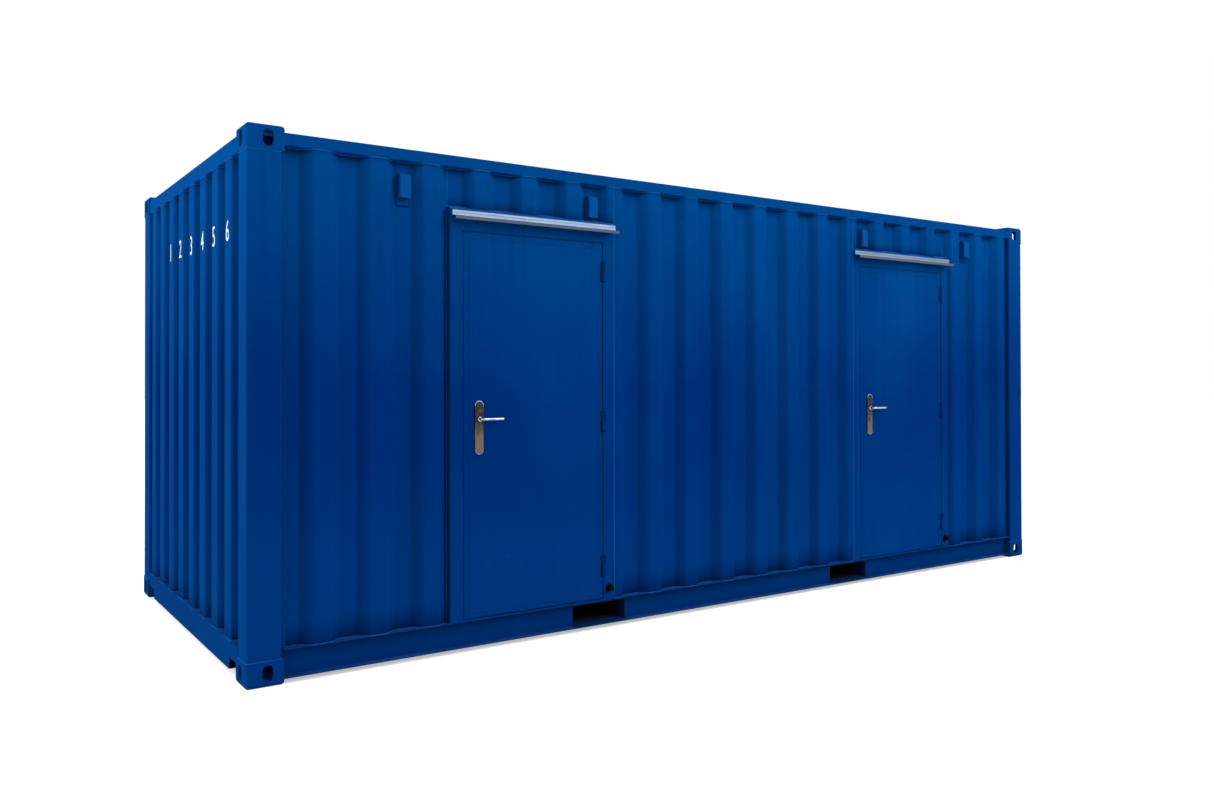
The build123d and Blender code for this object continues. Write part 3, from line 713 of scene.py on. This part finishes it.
def postWelds():
    places, edges = [], []
    for low, high in postBoxes:
        inset = Vector((welds["inset"], welds["inset"], 0))
        (x0, y0, _), (x1, y1, _) = low + inset, high - inset
        for z in welds["levels"]:
            first = len(places)
            places += [(x0, y0, z), (x1, y0, z), (x1, y1, z), (x0, y1, z)]
            edges += [(first + k, first + (k + 1) % 4) for k in range(4)]
    mesh = bpy.data.meshes.new("postWelds")
    mesh.from_pydata(places, edges, [])
    values = dict(welds["bead"], Seed=float(general["seed"]), Material=beadHighlightPaint)
    addPiece("postWelds", grown(weldTree(), values, mesh))


def postLaps():
    # the post's inner flange lies over the first bend of each side sheet
    w = welds
    shape = bmesh.new()
    for low, high in postBoxes:
        inner, along = (high.x, 1) if low.x < 0 else (low.x, -1)
        outer, inwards = (low.y, 1) if low.y < 0 else (high.y, -1)
        y0 = outer + inwards * w["lapFace"]
        y1 = y0 + inwards * w["lapThick"]
        x0, x1 = inner - along * w["under"], inner + along * w["lapWide"]
        prism(shape, [
            (x0, y0), (x1 - along * w["lapCorner"], y0), (x1, y0 + inwards * w["lapCorner"]),
            (x1, y1), (x0, y1)], "Z", general["railTop"], general["wallTop"])
    addPiece("postLaps", shape, paintedSteel)


postWelds()
postLaps()
print("post welds and laps made")

# Painted digits on the numbered end. Each row: digit, its crest, shift along, shift up
digits = {"high": 0.106, "capShare": 0.72, "wide": 0.82, "foot": 2.098, "proud": 0.0009,
          "thick": 0.0002, "weld": 0.00005,
          "rows": (("1", 6, 0.012, 0.014), ("2", 5, 0.012, 0.010), ("3", 4, 0.0, 0.0),
                   ("4", 3, 0.0, -0.006), ("5", 2, 0.016, -0.01), ("6", 1, 0.006, -0.012))}


def stencilDigits():
    d, end = digits, sheets["end"]
    joined = bmesh.new()
    outwards = -halfLength + sheets["endSetback"] - d["proud"]
    for character, crest, shift, level in d["rows"]:
        curve = bpy.data.curves.new("digit", "FONT")
        curve.body = character
        curve.align_x = "CENTER"
        curve.size = d["high"] / d["capShare"]
        curve.extrude = d["thick"]
        written = bpy.data.objects.new("digit", curve)
        mesh = bpy.data.meshes.new_from_object(written)
        middle = end["First crest"] - halfWidth + (crest - 1) * end["Pitch"] + shift
        mesh.transform(Matrix((
            (0, 0, -1, outwards), (-d["wide"], 0, 0, middle),
            (0, 1, 0, d["foot"] + level), (0, 0, 0, 1))))
        joined.from_mesh(mesh)
        bpy.data.objects.remove(written)
        bpy.data.curves.remove(curve)
    bmesh.ops.remove_doubles(joined, verts=joined.verts, dist=d["weld"])
    addPiece("stencilDigits", joined, whiteStencil)


stencilDigits()
print("digits painted")

furniture = {
    "doors": ((-1.998, "1"), (1.049, "2")), "frameWidth": 1.032, "frameFace": 0.072,
    "gap": 0.0065, "edge": 0.087, "leafFace": -1.211, "leafDepth": 0.042, "leafFoot": 0.172,
    "leafHead": 2.1755, "leafWidth": 0.8735,
    "plateLow": 1.018, "plateHigh": 1.298, "plateHalf": 0.025, "plateThick": 0.008,
    "plateBevel": 0.003, "rim": (0.0008, 0.0019), "rimInset": 0.0012, "rimSunk": 0.0008,
    "rimTurn": 0.004,
    "cylinder": (1.111, 1.1395), "cylinderRadius": 0.0085, "cylinderOut": 0.004,
    "keyHalf": 0.0011, "key": (1.126, 1.135), "keyOut": 0.0004,
    "leverLevel": 1.203, "leverArm": 0.128, "leverOut": 0.042, "leverRadius": 0.0076,
    "leverNeck": 0.012, "bend": 0.014, "bendSteps": 7,
    "leverEnd": ((0.45, 1), (0.8, 1), (0.955, 1), (0.975, 0.95), (0.989, 0.78), (0.997, 0.42)),
    "collar": ((0.0135, -0.001), (0.0135, 0.006), (0.0120, 0.0085), (0.0086, 0.009),
               (0.0086, -0.001)),
    "beadInset": 0.027, "beadWide": 0.0060, "beadHigh": 0.0016, "beadEdge": 0.0010,
    "lip": 0.0046, "hingeLip": 0.0033, "leafLip": 0.0030, "lipBack": 0.0025, "lipDeep": 0.006,
    "lipRound": 0.0012, "lipSunk": 0.0005, "lipFoot": 0.166,
    "hingeLevels": (0.350, 1.170, 2.0155), "hingeHalf": 0.062, "pinInset": 0.004,
    "rebate": 0.0155, "rebatePlate": (0.0055, 0.0095), "rebateGap": 0.0005,
    "sealantPlace": (-1.2315, 2.2825), "sealantRadius": (0.0022, 0.0005), "sealantWave": 2.4,
    "sealantInset": 0.004, "sealantSteps": 26,
    "sealRadius": 0.0026, "sealInset": (0.011, 0.013, 0.004), "sealBehind": 0.0029,
    "sealTurn": 0.008,
}
# the leaf's two faces, each with its way out
leafFaces = ((furniture["leafFace"], -1), (furniture["leafFace"] + furniture["leafDepth"], 1))


def stadium(halfWide, low, high, steps=14):
    top, bottom = high - halfWide, low + halfWide
    arc = [math.pi * k / steps for k in range(steps + 1)]
    return ([(halfWide * math.cos(t), top + halfWide * math.sin(t)) for t in arc]
            + [(-halfWide * math.cos(t), bottom - halfWide * math.sin(t)) for t in arc])


def lockPlates(number, leverX):
    # rounded plates, each with its key cylinder: a proud barrel with its keyway
    f = furniture
    shape = bmesh.new()
    for face, out in leafFaces:
        part = bmesh.new()
        outer = face + out * f["plateThick"]
        plate = stadium(f["plateHalf"], f["plateLow"], f["plateHigh"])
        prism(part, [(leverX + a, z) for a, z in plate], "Y", face, outer)
        bmesh.ops.recalc_face_normals(part, faces=part.faces)
        front = [e for e in part.edges if all(abs(v.co.y - outer) < 1e-6 for v in e.verts)]
        bmesh.ops.bevel(part, geom=front, offset=f["plateBevel"], segments=3, profile=0.6,
                        affect="EDGES")
        barrel, barrelOut = stadium(f["cylinderRadius"], *f["cylinder"], 10), f["cylinderOut"]
        prism(part, [(leverX + a, z) for a, z in barrel], "Y", outer - out * 0.001,
              outer + out * barrelOut)
        x0, x1 = leverX - f["keyHalf"], leverX + f["keyHalf"]
        z0, z1 = f["key"]
        prism(part, [(x0, z0), (x1, z0), (x1, z1), (x0, z1)], "Y",
              outer + out * barrelOut, outer + out * (barrelOut + f["keyOut"]))
        joinInto(shape, part)
    addPiece(f"lockPlates{number}", shape, lockSteel, f"door_{number}",
             [f"lock_plates_{number}"])


def plateHighlightRims(number, leverX):
    # polished bar round the plate's edge, thickest round its top, which paints the highlight there
    f = furniture
    shape = bmesh.new()
    inset = f["rimInset"]
    outline = stadium(f["plateHalf"] - inset, f["plateLow"] + inset, f["plateHigh"] - inset, 16)
    thin, thick = f["rim"]
    turn = f["plateHigh"] - f["plateHalf"] + f["rimTurn"]
    radii = [thick if z > turn else thin for a, z in outline]
    for face, out in leafFaces:
        y = face + out * (f["plateThick"] - f["rimSunk"])
        tube(shape, [(leverX + a, y, z) for a, z in outline], radii, sides=8, closed=True)
    addPiece(f"plateHighlightRims{number}", shape, leverSteel, f"door_{number}",
             smoothAngle=60)


def lipSection(place, r, y0, y1):
    # profile of a folded lip standing r out of the plane at `place`, its front edge rounded off
    behind = place - math.copysign(furniture["lipSunk"], r)
    return [(behind, y0), (place + r * 0.7, y0), (place + r, y0 + furniture["lipRound"]),
            (place + r, y1), (behind, y1)]


def doorLips(number, place):
    # folded lips in the opening and on the leaf's hinge side, which narrow the gap round the leaf
    f = furniture
    frameShape, leafShape = bmesh.new(), bmesh.new()
    left, right = place + f["frameFace"], place + f["frameWidth"] - f["frameFace"]
    top = f["leafHead"] + f["gap"]
    front = f["leafFace"] + f["lipBack"]
    back = front + f["lipDeep"]
    prism(frameShape, lipSection(left, f["lip"], front, back), "Z", f["lipFoot"], top)
    head = [(y, z) for z, y in lipSection(top, -f["lip"], front, back)]
    prism(frameShape, head, "X", left, right)
    # rebate plates close the notches behind the hinge barrels
    pin = right - f["pinInset"]
    y0, y1 = (front + deep for deep in f["rebatePlate"])
    gap, rebate = f["rebateGap"], f["rebate"]
    for level in f["hingeLevels"]:
        for shape, x0, x1 in ((frameShape, pin + gap, pin + rebate),
                              (leafShape, pin - rebate, pin - gap)):
            prism(shape, [(x0, y0), (x1, y0), (x1, y1), (x0, y1)], "Z",
                  level - f["hingeHalf"], level + f["hingeHalf"])
    ends = [level + side * f["hingeHalf"] for level in f["hingeLevels"] for side in (-1, 1)]
    ends = [f["leafFoot"]] + ends + [f["leafHead"]]
    edge = left + f["gap"] + f["leafWidth"]
    for low, high in zip(ends[0::2], ends[1::2]):
        prism(frameShape, lipSection(right, -f["hingeLip"], front, back), "Z", low, high)
        prism(leafShape, lipSection(edge, f["leafLip"], front, back), "Z", low, high)
    addPiece(f"frameLip{number}", frameShape, paintedSteel)
    addPiece(f"leafLip{number}", leafShape, paintedSteel, f"door_{number}")


def leverBar(number, leverX):
    f = furniture
    shape = bmesh.new()
    level, bend, radius = f["leverLevel"], f["bend"], f["leverRadius"]
    for face, way in leafFaces:
        arm = face + way * f["leverOut"]
        points = [(leverX, face, level), (leverX, face + way * f["leverNeck"], level),
                  (leverX, arm - way * bend, level)]
        for k in range(1, f["bendSteps"] + 1):
            t = math.pi / 2 * k / f["bendSteps"]
            points.append((leverX + bend * (1 - math.cos(t)),
                           arm - way * bend * (1 - math.sin(t)), level))
        radii = [radius] * len(points) + [radius * share for _, share in f["leverEnd"]]
        points += [(leverX + f["leverArm"] * share, arm, level) for share, _ in f["leverEnd"]]
        tube(shape, points, radii, sides=20)
        collar = [(r, -way * (f["plateThick"] + out)) for r, out in f["collar"]]
        lathe(shape, collar + collar[:1], (leverX, face, level), sides=28)
    addPiece(f"leverHandle{number}", shape, leverSteel, f"lever_{number}",
             [f"lever_{number}"], 50)


def leafBead(number, leafLeft):
    # the folded skin's edge shows as a faint raised line inside the leaf's border
    f = furniture
    shape = bmesh.new()
    left, right = leafLeft + f["beadInset"], leafLeft + f["leafWidth"] - f["beadInset"]
    low, high = f["leafFoot"] + f["beadInset"], f["leafHead"] - f["beadInset"]
    section = ((0, 0), (f["beadEdge"], f["beadHigh"]),
               (f["beadWide"] - f["beadEdge"], f["beadHigh"]), (f["beadWide"], 0))
    for face, out in leafFaces:
        rings = []
        for inset, height in section:
            y = face + out * height
            x0, x1, z0, z1 = left + inset, right - inset, low + inset, high - inset
            rings.append([shape.verts.new(p) for p in (
                (x0, y, z0), (x1, y, z0), (x1, y, z1), (x0, y, z1))])
        bridge(shape, rings + rings[:1])
    addPiece(f"leafBead{number}", shape, paintedSteel, f"door_{number}")


def doorSeal(number, place):
    # soft bulb seal on the frame's rebate, round the leaf's back edge
    f = furniture
    shape = bmesh.new()
    fromLeft, fromRight, fromTop = f["sealInset"]
    left = place + f["frameFace"] + fromLeft
    right = place + f["frameWidth"] - f["frameFace"] - fromRight
    top, turn = f["leafHead"] - fromTop, f["sealTurn"]
    y = f["leafFace"] + f["leafDepth"] + f["sealBehind"]
    levels = (f["leafFoot"], 0.6, 1.2, 1.8, top - turn)
    points = [(left, y, z) for z in levels] + [(left + turn, y, top)]
    points += [(left + (right - left) * s, y, top) for s in (0.25, 0.5, 0.75)]
    points += [(right - turn, y, top)] + [(right, y, z) for z in reversed(levels)]
    tube(shape, points, [f["sealRadius"]] * len(points), sides=10)
    addPiece(f"doorSeal{number}", shape, blackRubber, "root", smoothAngle=60)


def hoodBead(number, place):
    # run of sealant along the front edge of the frame's head, under the corrugated sheet, in the
    # pale bead paint as a painted highlight
    f = furniture
    shape = bmesh.new()
    y, z = f["sealantPlace"]
    radius, swell = f["sealantRadius"]
    steps = range(f["sealantSteps"] + 1)
    start, run = place + f["sealantInset"], f["frameWidth"] - 2 * f["sealantInset"]
    tube(shape, [(start + run * k / f["sealantSteps"], y, z) for k in steps],
         [radius + swell * math.sin(k * f["sealantWave"]) for k in steps], sides=8)
    addPiece(f"hoodBead{number}", shape, beadHighlightPaint, smoothAngle=60)


for place, number in furniture["doors"]:
    leafLeft = place + furniture["frameFace"] + furniture["gap"]
    leverX = leafLeft + furniture["edge"]
    lockPlates(number, leverX)
    plateHighlightRims(number, leverX)
    doorLips(number, place)
    leverBar(number, leverX)
    leafBead(number, leafLeft)
    doorSeal(number, place)
    hoodBead(number, place)
print("door furniture made")

# Drip gutters: one drawn section with a groove along its face, open at both ends
gutter = {"length": 1.026, "hoodFront": -1.233, "top": 2.281, "flange": 0.029, "reach": 0.044,
          "drop": 0.009, "lip": 0.012, "lipBack": 0.008, "plate": 0.0025, "groove": 0.0016}


def gutterSection():
    g = gutter
    y0, z0, p = g["hoodFront"], g["top"], g["plate"]
    z1, front = z0 - g["flange"], y0 - p
    yf, zf = y0 - g["reach"], z1 - g["drop"]
    sunk, back = front + g["groove"], yf + g["lipBack"]
    return [
        (y0, z0), (front, z0 - 0.0008), (front, z0 - 0.0115), (sunk, z0 - 0.0125),
        (sunk, z0 - 0.0150), (front, z0 - 0.0160), (front, z1 + 0.0048),
        (front - 0.0022, z1 + 0.0040), (front - 0.0026, z1 + 0.0022), (yf - 0.0006, zf + p),
        (yf - p, zf + 0.0008), (back - p, zf - g["lip"]), (back, zf - g["lip"]),
        (yf + 0.0006, zf - 0.0006), (y0 - 0.0006, z1 - 0.0004), (y0, z1),
    ]


gutterStarts = [  # the gutters stand centred on the door frames
    place + (furniture["frameWidth"] - gutter["length"]) / 2 for place, _ in furniture["doors"]]
gutterShape = bmesh.new()
for start in gutterStarts:
    prism(gutterShape, gutterSection(), "X", start, start + gutter["length"])
addPiece("dripGutters", gutterShape, gutterMetal, "root", ["drip_gutters"], 20)
print("gutters made")

# Vent hoods in four troughs: how far along, and the level of the plate's foot, which is higher
# over a door. Sealant: aside, up, radius
vents = {
    "places": ((0.78625, 2.283), (1.92825, 2.3055), (4.21225, 2.3055), (5.35425, 2.283)),
    "trough": -1.171, "half": 0.033, "plateHigh": 2.485, "plateThick": 0.002, "corner": 0.004,
    "hoodLow": 2.318, "hoodHigh": 2.441, "hoodHalf": 0.030, "out": 0.040, "sheet": 0.002,
    "slope": 0.014, "fold": 0.0035, "sunk": 0.001,
    "sealant": ((-0.035, 0.06, 0.0015), (-0.035, 0.004, 0.0032), (-0.029, -0.001, 0.0042),
                (-0.0132, -0.004, 0.0034), (0.0066, -0.001, 0.0046), (0.029, -0.003, 0.0036),
                (0.035, 0.004, 0.003), (0.035, 0.06, 0.0015)),
}


def ventPlate(shape, x, low):
    v = vents
    part = bmesh.new()
    x0, x1, high = x - v["half"], x + v["half"], v["plateHigh"]
    prism(part, [(x0, low), (x1, low), (x1, high), (x0, high)], "Y",
          v["trough"], v["trough"] - v["plateThick"])
    bmesh.ops.recalc_face_normals(part, faces=part.faces)
    upright = [e for e in part.edges if abs(e.verts[0].co.y - e.verts[1].co.y) > 1e-4]
    bmesh.ops.bevel(part, geom=upright, offset=v["corner"], segments=3, affect="EDGES")
    joinInto(shape, part)


def ventHood(shape, x):
    # a side section with a sloping top, its front edges rounded, open underneath
    v = vents
    part = bmesh.new()
    front, back = v["trough"] - v["out"], v["trough"] - v["sunk"]
    low, high = v["hoodLow"], v["hoodHigh"]
    prism(part, [
        (back, high), (front + v["slope"], high), (front, high - v["slope"]), (front, low),
        (back, low)], "X", x - v["hoodHalf"], x + v["hoodHalf"])
    bmesh.ops.recalc_face_normals(part, faces=part.faces)
    outer = []
    for edge in part.edges:
        a, b = (v.co for v in edge.verts)
        isHigh = min(a.z, b.z) > low + 0.001 and max(abs(a.y - back), abs(b.y - back)) > 0.02
        isUpright = abs(a.z - b.z) > 0.05 and abs(a.y - front) < 1e-5
        if isHigh or isUpright:
            outer.append(edge)
    bmesh.ops.bevel(part, geom=outer, offset=v["fold"], segments=3, affect="EDGES")
    openFaces = [f for f in part.faces if f.calc_center_median().z < low + 1e-4
                 or abs(f.calc_center_median().y - back) < 1e-4]
    bmesh.ops.delete(part, geom=openFaces, context="FACES")
    bmesh.ops.solidify(part, geom=part.faces, thickness=v["sheet"])
    joinInto(shape, part)


plates, hoods, sealant = bmesh.new(), bmesh.new(), bmesh.new()
for run, low in vents["places"]:
    x, y = run - halfLength, vents["trough"] - vents["sunk"]
    ventPlate(plates, x, low)
    ventHood(hoods, x)
    # lumpy sealant round the plate's foot
    tube(sealant, [(x + aside, y, low + up) for aside, up, _ in vents["sealant"]],
         [radius for _, _, radius in vents["sealant"]], sides=8)
addPiece("ventPlates", plates, paintedSteel, smoothAngle=40)
# the sealant is painted near-black blue: painted shade under the hoods
addPiece("ventSealant", sealant, nearBlackShadePaint, smoothAngle=60)
# the hoods are painted paler blue: a painted highlight
addPiece("ventHoods", hoods, ventHighlightPaint, replaced=["vent_hoods"], smoothAngle=40)
print("vents made")

stops = {"level": 0.226, "face": -1.213, "offset": 0.036,
         "profile": ((0, 0), (0.025, 0), (0.025, 0.004), (0.0235, 0.006), (0.0165, 0.0065),
                     (0.015, 0.009), (0.0145, 0.020), (0.015, 0.027), (0.0135, 0.0315),
                     (0.010, 0.0335), (0.0045, 0.034), (0.0040, 0.031), (0, 0.0308))}
stopShape = bmesh.new()
for place, _ in furniture["doors"]:
    x = place + furniture["frameWidth"] - furniture["frameFace"] + stops["offset"]
    lathe(stopShape, stops["profile"], (x, stops["face"], stops["level"]))
addPiece("doorStops", stopShape, blackRubber, "root", ["door_stops"], 50)
print("door stops made")

screws = {
    "gutter": {"Head": 0.0042, "Proud": 0.0022}, "gutterShares": (0.028, 0.43, 0.972),
    "gutterDown": 0.0185,
    "vent": {"Head": 0.0045, "Proud": 0.0026}, "ventAside": 0.021, "ventLevel": 2.4745,
    "plate": {"Head": 0.0036, "Proud": 0.0009}, "plateLevels": (1.275, 1.041),
    "floor": {"Head": 0.0055, "Proud": 0.0008}, "floorTop": 0.172, "floorPitch": (0.3, 0.15),
    "floorRows": 9, "floorColumns": 7,
}


def screwTree():
    # domed heads, one on each point, turned out along the stored facing
    tree, add, given = newTree("screwHeads", {
        **screws["plate"], "Seed": 1, "Material": screwZinc}, "Points")
    wide, shoulder, crown = given["Head"], 0.8, 0.45  # shares of the head's radius
    lowShare = 0.7  # of its height, up to the shoulder
    middle = add("ShaderNodeMath", (wide, shoulder), operation="MULTIPLY")
    top = add("ShaderNodeMath", (wide, crown), operation="MULTIPLY")
    tall = add("ShaderNodeMath", (given["Proud"], lowShare), operation="MULTIPLY")
    rest = add("ShaderNodeMath", (given["Proud"], 1 - lowShare), operation="MULTIPLY")
    lower, upper = (add("GeometryNodeMeshCone", {
        "Vertices": 12, "Side Segments": 1, "Fill Segments": 1,
        "Radius Bottom": bottom, "Radius Top": over, "Depth": deep})
        for bottom, over, deep in ((wide, middle, tall), (middle, top, rest)))
    raised = add("GeometryNodeTransform", {
        "Geometry": upper, "Translation": add("ShaderNodeCombineXYZ", {"Z": tall})})
    head = add("GeometryNodeJoinGeometry", ([lower, raised],))
    facing = add("GeometryNodeInputNamedAttribute", {"Name": "facing"}, data_type="FLOAT_VECTOR")
    turn = add("FunctionNodeAlignRotationToVector", {"Vector": facing}, axis="Z")
    spin = add("FunctionNodeRandomValue", {
        "Max": 6.28, "Seed": given["Seed"]}, data_type="FLOAT")
    spun = add("FunctionNodeAxisAngleToRotation", {"Axis": (0, 0, 1), "Angle": spin})
    both = add("FunctionNodeRotateRotation", {
        "Rotation": turn, "Rotate By": spun}, rotation_space="LOCAL")
    spread = add("GeometryNodeInstanceOnPoints", {
        "Points": given["Points"], "Instance": head, "Rotation": both})
    endTree(add, spread, given["Material"])
    return tree


headTree = screwTree()


def screwHeads(name, spots, kind, material, body):
    # spots: (place, facing) pairs
    mesh = bpy.data.meshes.new(name)
    mesh.from_pydata([place for place, facing in spots], [], [])
    attribute = mesh.attributes.new("facing", "FLOAT_VECTOR", "POINT")
    for item, (place, facing) in zip(attribute.data, spots):
        item.vector = facing
    values = dict(screws[kind], Seed=general["seed"], Material=material)
    addPiece(name, grown(headTree, values, mesh), None, body)


front, rear, above = (0, -1, 0), (0, 1, 0), (0, 0, 1)
gutterFace = gutter["hoodFront"] - gutter["plate"]
screwHeads("gutterScrews", [
    ((start + gutter["length"] * share, gutterFace, gutter["top"] - screws["gutterDown"]), front)
    for start in gutterStarts for share in screws["gutterShares"]],
    "gutter", screwZinc, "root")
# the vent screws are painted near-black blue: painted shade
screwHeads("ventScrews", [
    ((run - halfLength + side * screws["ventAside"], vents["trough"] - vents["plateThick"],
      screws["ventLevel"]), front) for run, _ in vents["places"] for side in (-1, 1)],
    "vent", nearBlackShadePaint, "root")
alongStep, acrossStep = screws["floorPitch"]
rows, columns = screws["floorRows"], screws["floorColumns"]
screwHeads("floorScrews", [
    ((row * alongStep, column * acrossStep, screws["floorTop"]), above)
    for row in range(-rows, rows + 1) for column in range(-columns, columns + 1)],
    "floor", screwZinc, "root")
for place, number in furniture["doors"]:
    leverX = place + furniture["frameFace"] + furniture["gap"] + furniture["edge"]
    screwHeads(f"plateScrews{number}", [
        ((leverX, face + out * furniture["plateThick"], z), facing)
        for (face, out), facing in zip(leafFaces, (front, rear)) for z in screws["plateLevels"]],
        "plate", lockSteel, f"door_{number}")
print("screws made")

stage = {
    "lens": 29.298, "shift": (0.02389, -0.03023), "place": (-4.263, -5.786, 1.427),
    "yaw": 56.28, "pitch": 0.47, "roll": -0.096, "reach": 60,
    "zenith": 1.15, "horizon": 0.62, "below": 0.4, "corner": 0.68, "cornerHeading": (-1.4, -0.8),
    "floorSeen": 0.92, "floorGlow": 0.45, "floorLit": 0.55,
    "lamps": (  # name, place, target, size, watts
        ("keyLamp", (5.5, -9.5, 7.5), (0, 0, 1.0), 8, 860),
        ("endLamp", (-11.0, 0.0, 2.6), (-3, 0, 1.2), 6, 650)),
}


def photoCamera():
    camera = bpy.data.cameras.new("camera")
    camera.sensor_width = 36
    camera.lens = stage["lens"]
    camera.shift_x, camera.shift_y = stage["shift"]
    camera.clip_end = 200
    holder = bpy.data.objects.new("camera", camera)
    yaw, pitch, roll = (math.radians(stage[turn]) for turn in ("yaw", "pitch", "roll"))
    ahead = Vector((math.cos(yaw) * math.cos(pitch), math.sin(yaw) * math.cos(pitch),
                    math.sin(pitch)))
    level = Vector((math.sin(yaw), -math.cos(yaw), 0))
    upright = level.cross(ahead)
    right = level * math.cos(roll) + upright * math.sin(roll)
    over = upright * math.cos(roll) - level * math.sin(roll)
    turned = Matrix((right, over, -ahead)).transposed().to_4x4()
    holder.matrix_world = Matrix.Translation(stage["place"]) @ turned
    scene.collection.objects.link(holder)
    scene.camera = holder


def areaLamp(name, place, target, size, watts):
    lamp = bpy.data.lights.new(name, "AREA")
    lamp.shape, lamp.size, lamp.energy = "SQUARE", size, watts
    holder = bpy.data.objects.new(name, lamp)
    holder.location = place
    aim = Vector(target) - Vector(place)
    holder.rotation_euler = aim.to_track_quat("-Z", "Y").to_euler()
    scene.collection.objects.link(holder)


def seenDirectly(add):
    # 1 for rays from the camera, a reflection or through glass, 0 for light on the object
    path = add("ShaderNodeLightPath").outputs
    seen = add("ShaderNodeMath", (path["Is Camera Ray"], path["Is Glossy Ray"]),
               operation="MAXIMUM")
    return add("ShaderNodeMath", (seen, path["Is Transmission Ray"]), operation="MAXIMUM")


def whiteFloor():
    mesh = bpy.data.meshes.new("stageFloor")
    r = stage["reach"]
    mesh.from_pydata([(-r, -r, 0), (r, -r, 0), (r, r, 0), (-r, r, 0)], [], [(0, 1, 2, 3)])
    floor = bpy.data.objects.new("stageFloor", mesh)
    scene.collection.objects.link(floor)
    material = bpy.data.materials.new("paleStudioFloor")
    add = emptied(material)
    matt, white = (add("ShaderNodeBsdfDiffuse", {"Color": (stage[k], stage[k], stage[k], 1)})
                   for k in ("floorLit", "floorSeen"))
    glow = add("ShaderNodeEmission", {"Color": (1, 1, 1, 1), "Strength": stage["floorGlow"]})
    both = add("ShaderNodeAddShader", (white, glow))
    mix = add("ShaderNodeMixShader", (seenDirectly(add), matt, both))
    add("ShaderNodeOutputMaterial", (mix,))
    mesh.materials.append(material)


def studioWorld():
    # softer overhead, dimmer at the horizon, and dimmest towards the near corner
    scene.world = bpy.data.worlds.new("studio")
    add = emptied(scene.world)
    heading = add("ShaderNodeSeparateXYZ", (
        add("ShaderNodeTexCoord").outputs["Generated"],)).outputs
    corner = add("ShaderNodeMath", (heading["X"], heading["Y"]), operation="ADD")
    light = 1.0
    for value, low, high, dim, full in (
        (heading["Z"], 0.0, 1.0, stage["horizon"], stage["zenith"]),
        (heading["Z"], -0.02, 0.0, stage["below"], 1.0),
        (corner, *stage["cornerHeading"], stage["corner"], 1.0),
    ):
        part = (value, low, high, dim, full)
        light = add("ShaderNodeMath", (light, part), operation="MULTIPLY")
    soft, white = (add("ShaderNodeBackground", {"Color": (1, 1, 1, 1), "Strength": strength})
                   for strength in (light, 1.0))
    mix = add("ShaderNodeMixShader", (seenDirectly(add), soft, white))
    add("ShaderNodeOutputWorld", (mix,))


photoCamera()
whiteFloor()
studioWorld()
for lamp in stage["lamps"]:
    areaLamp(*lamp)
scene.view_settings.view_transform = "Standard"
print("stage made")
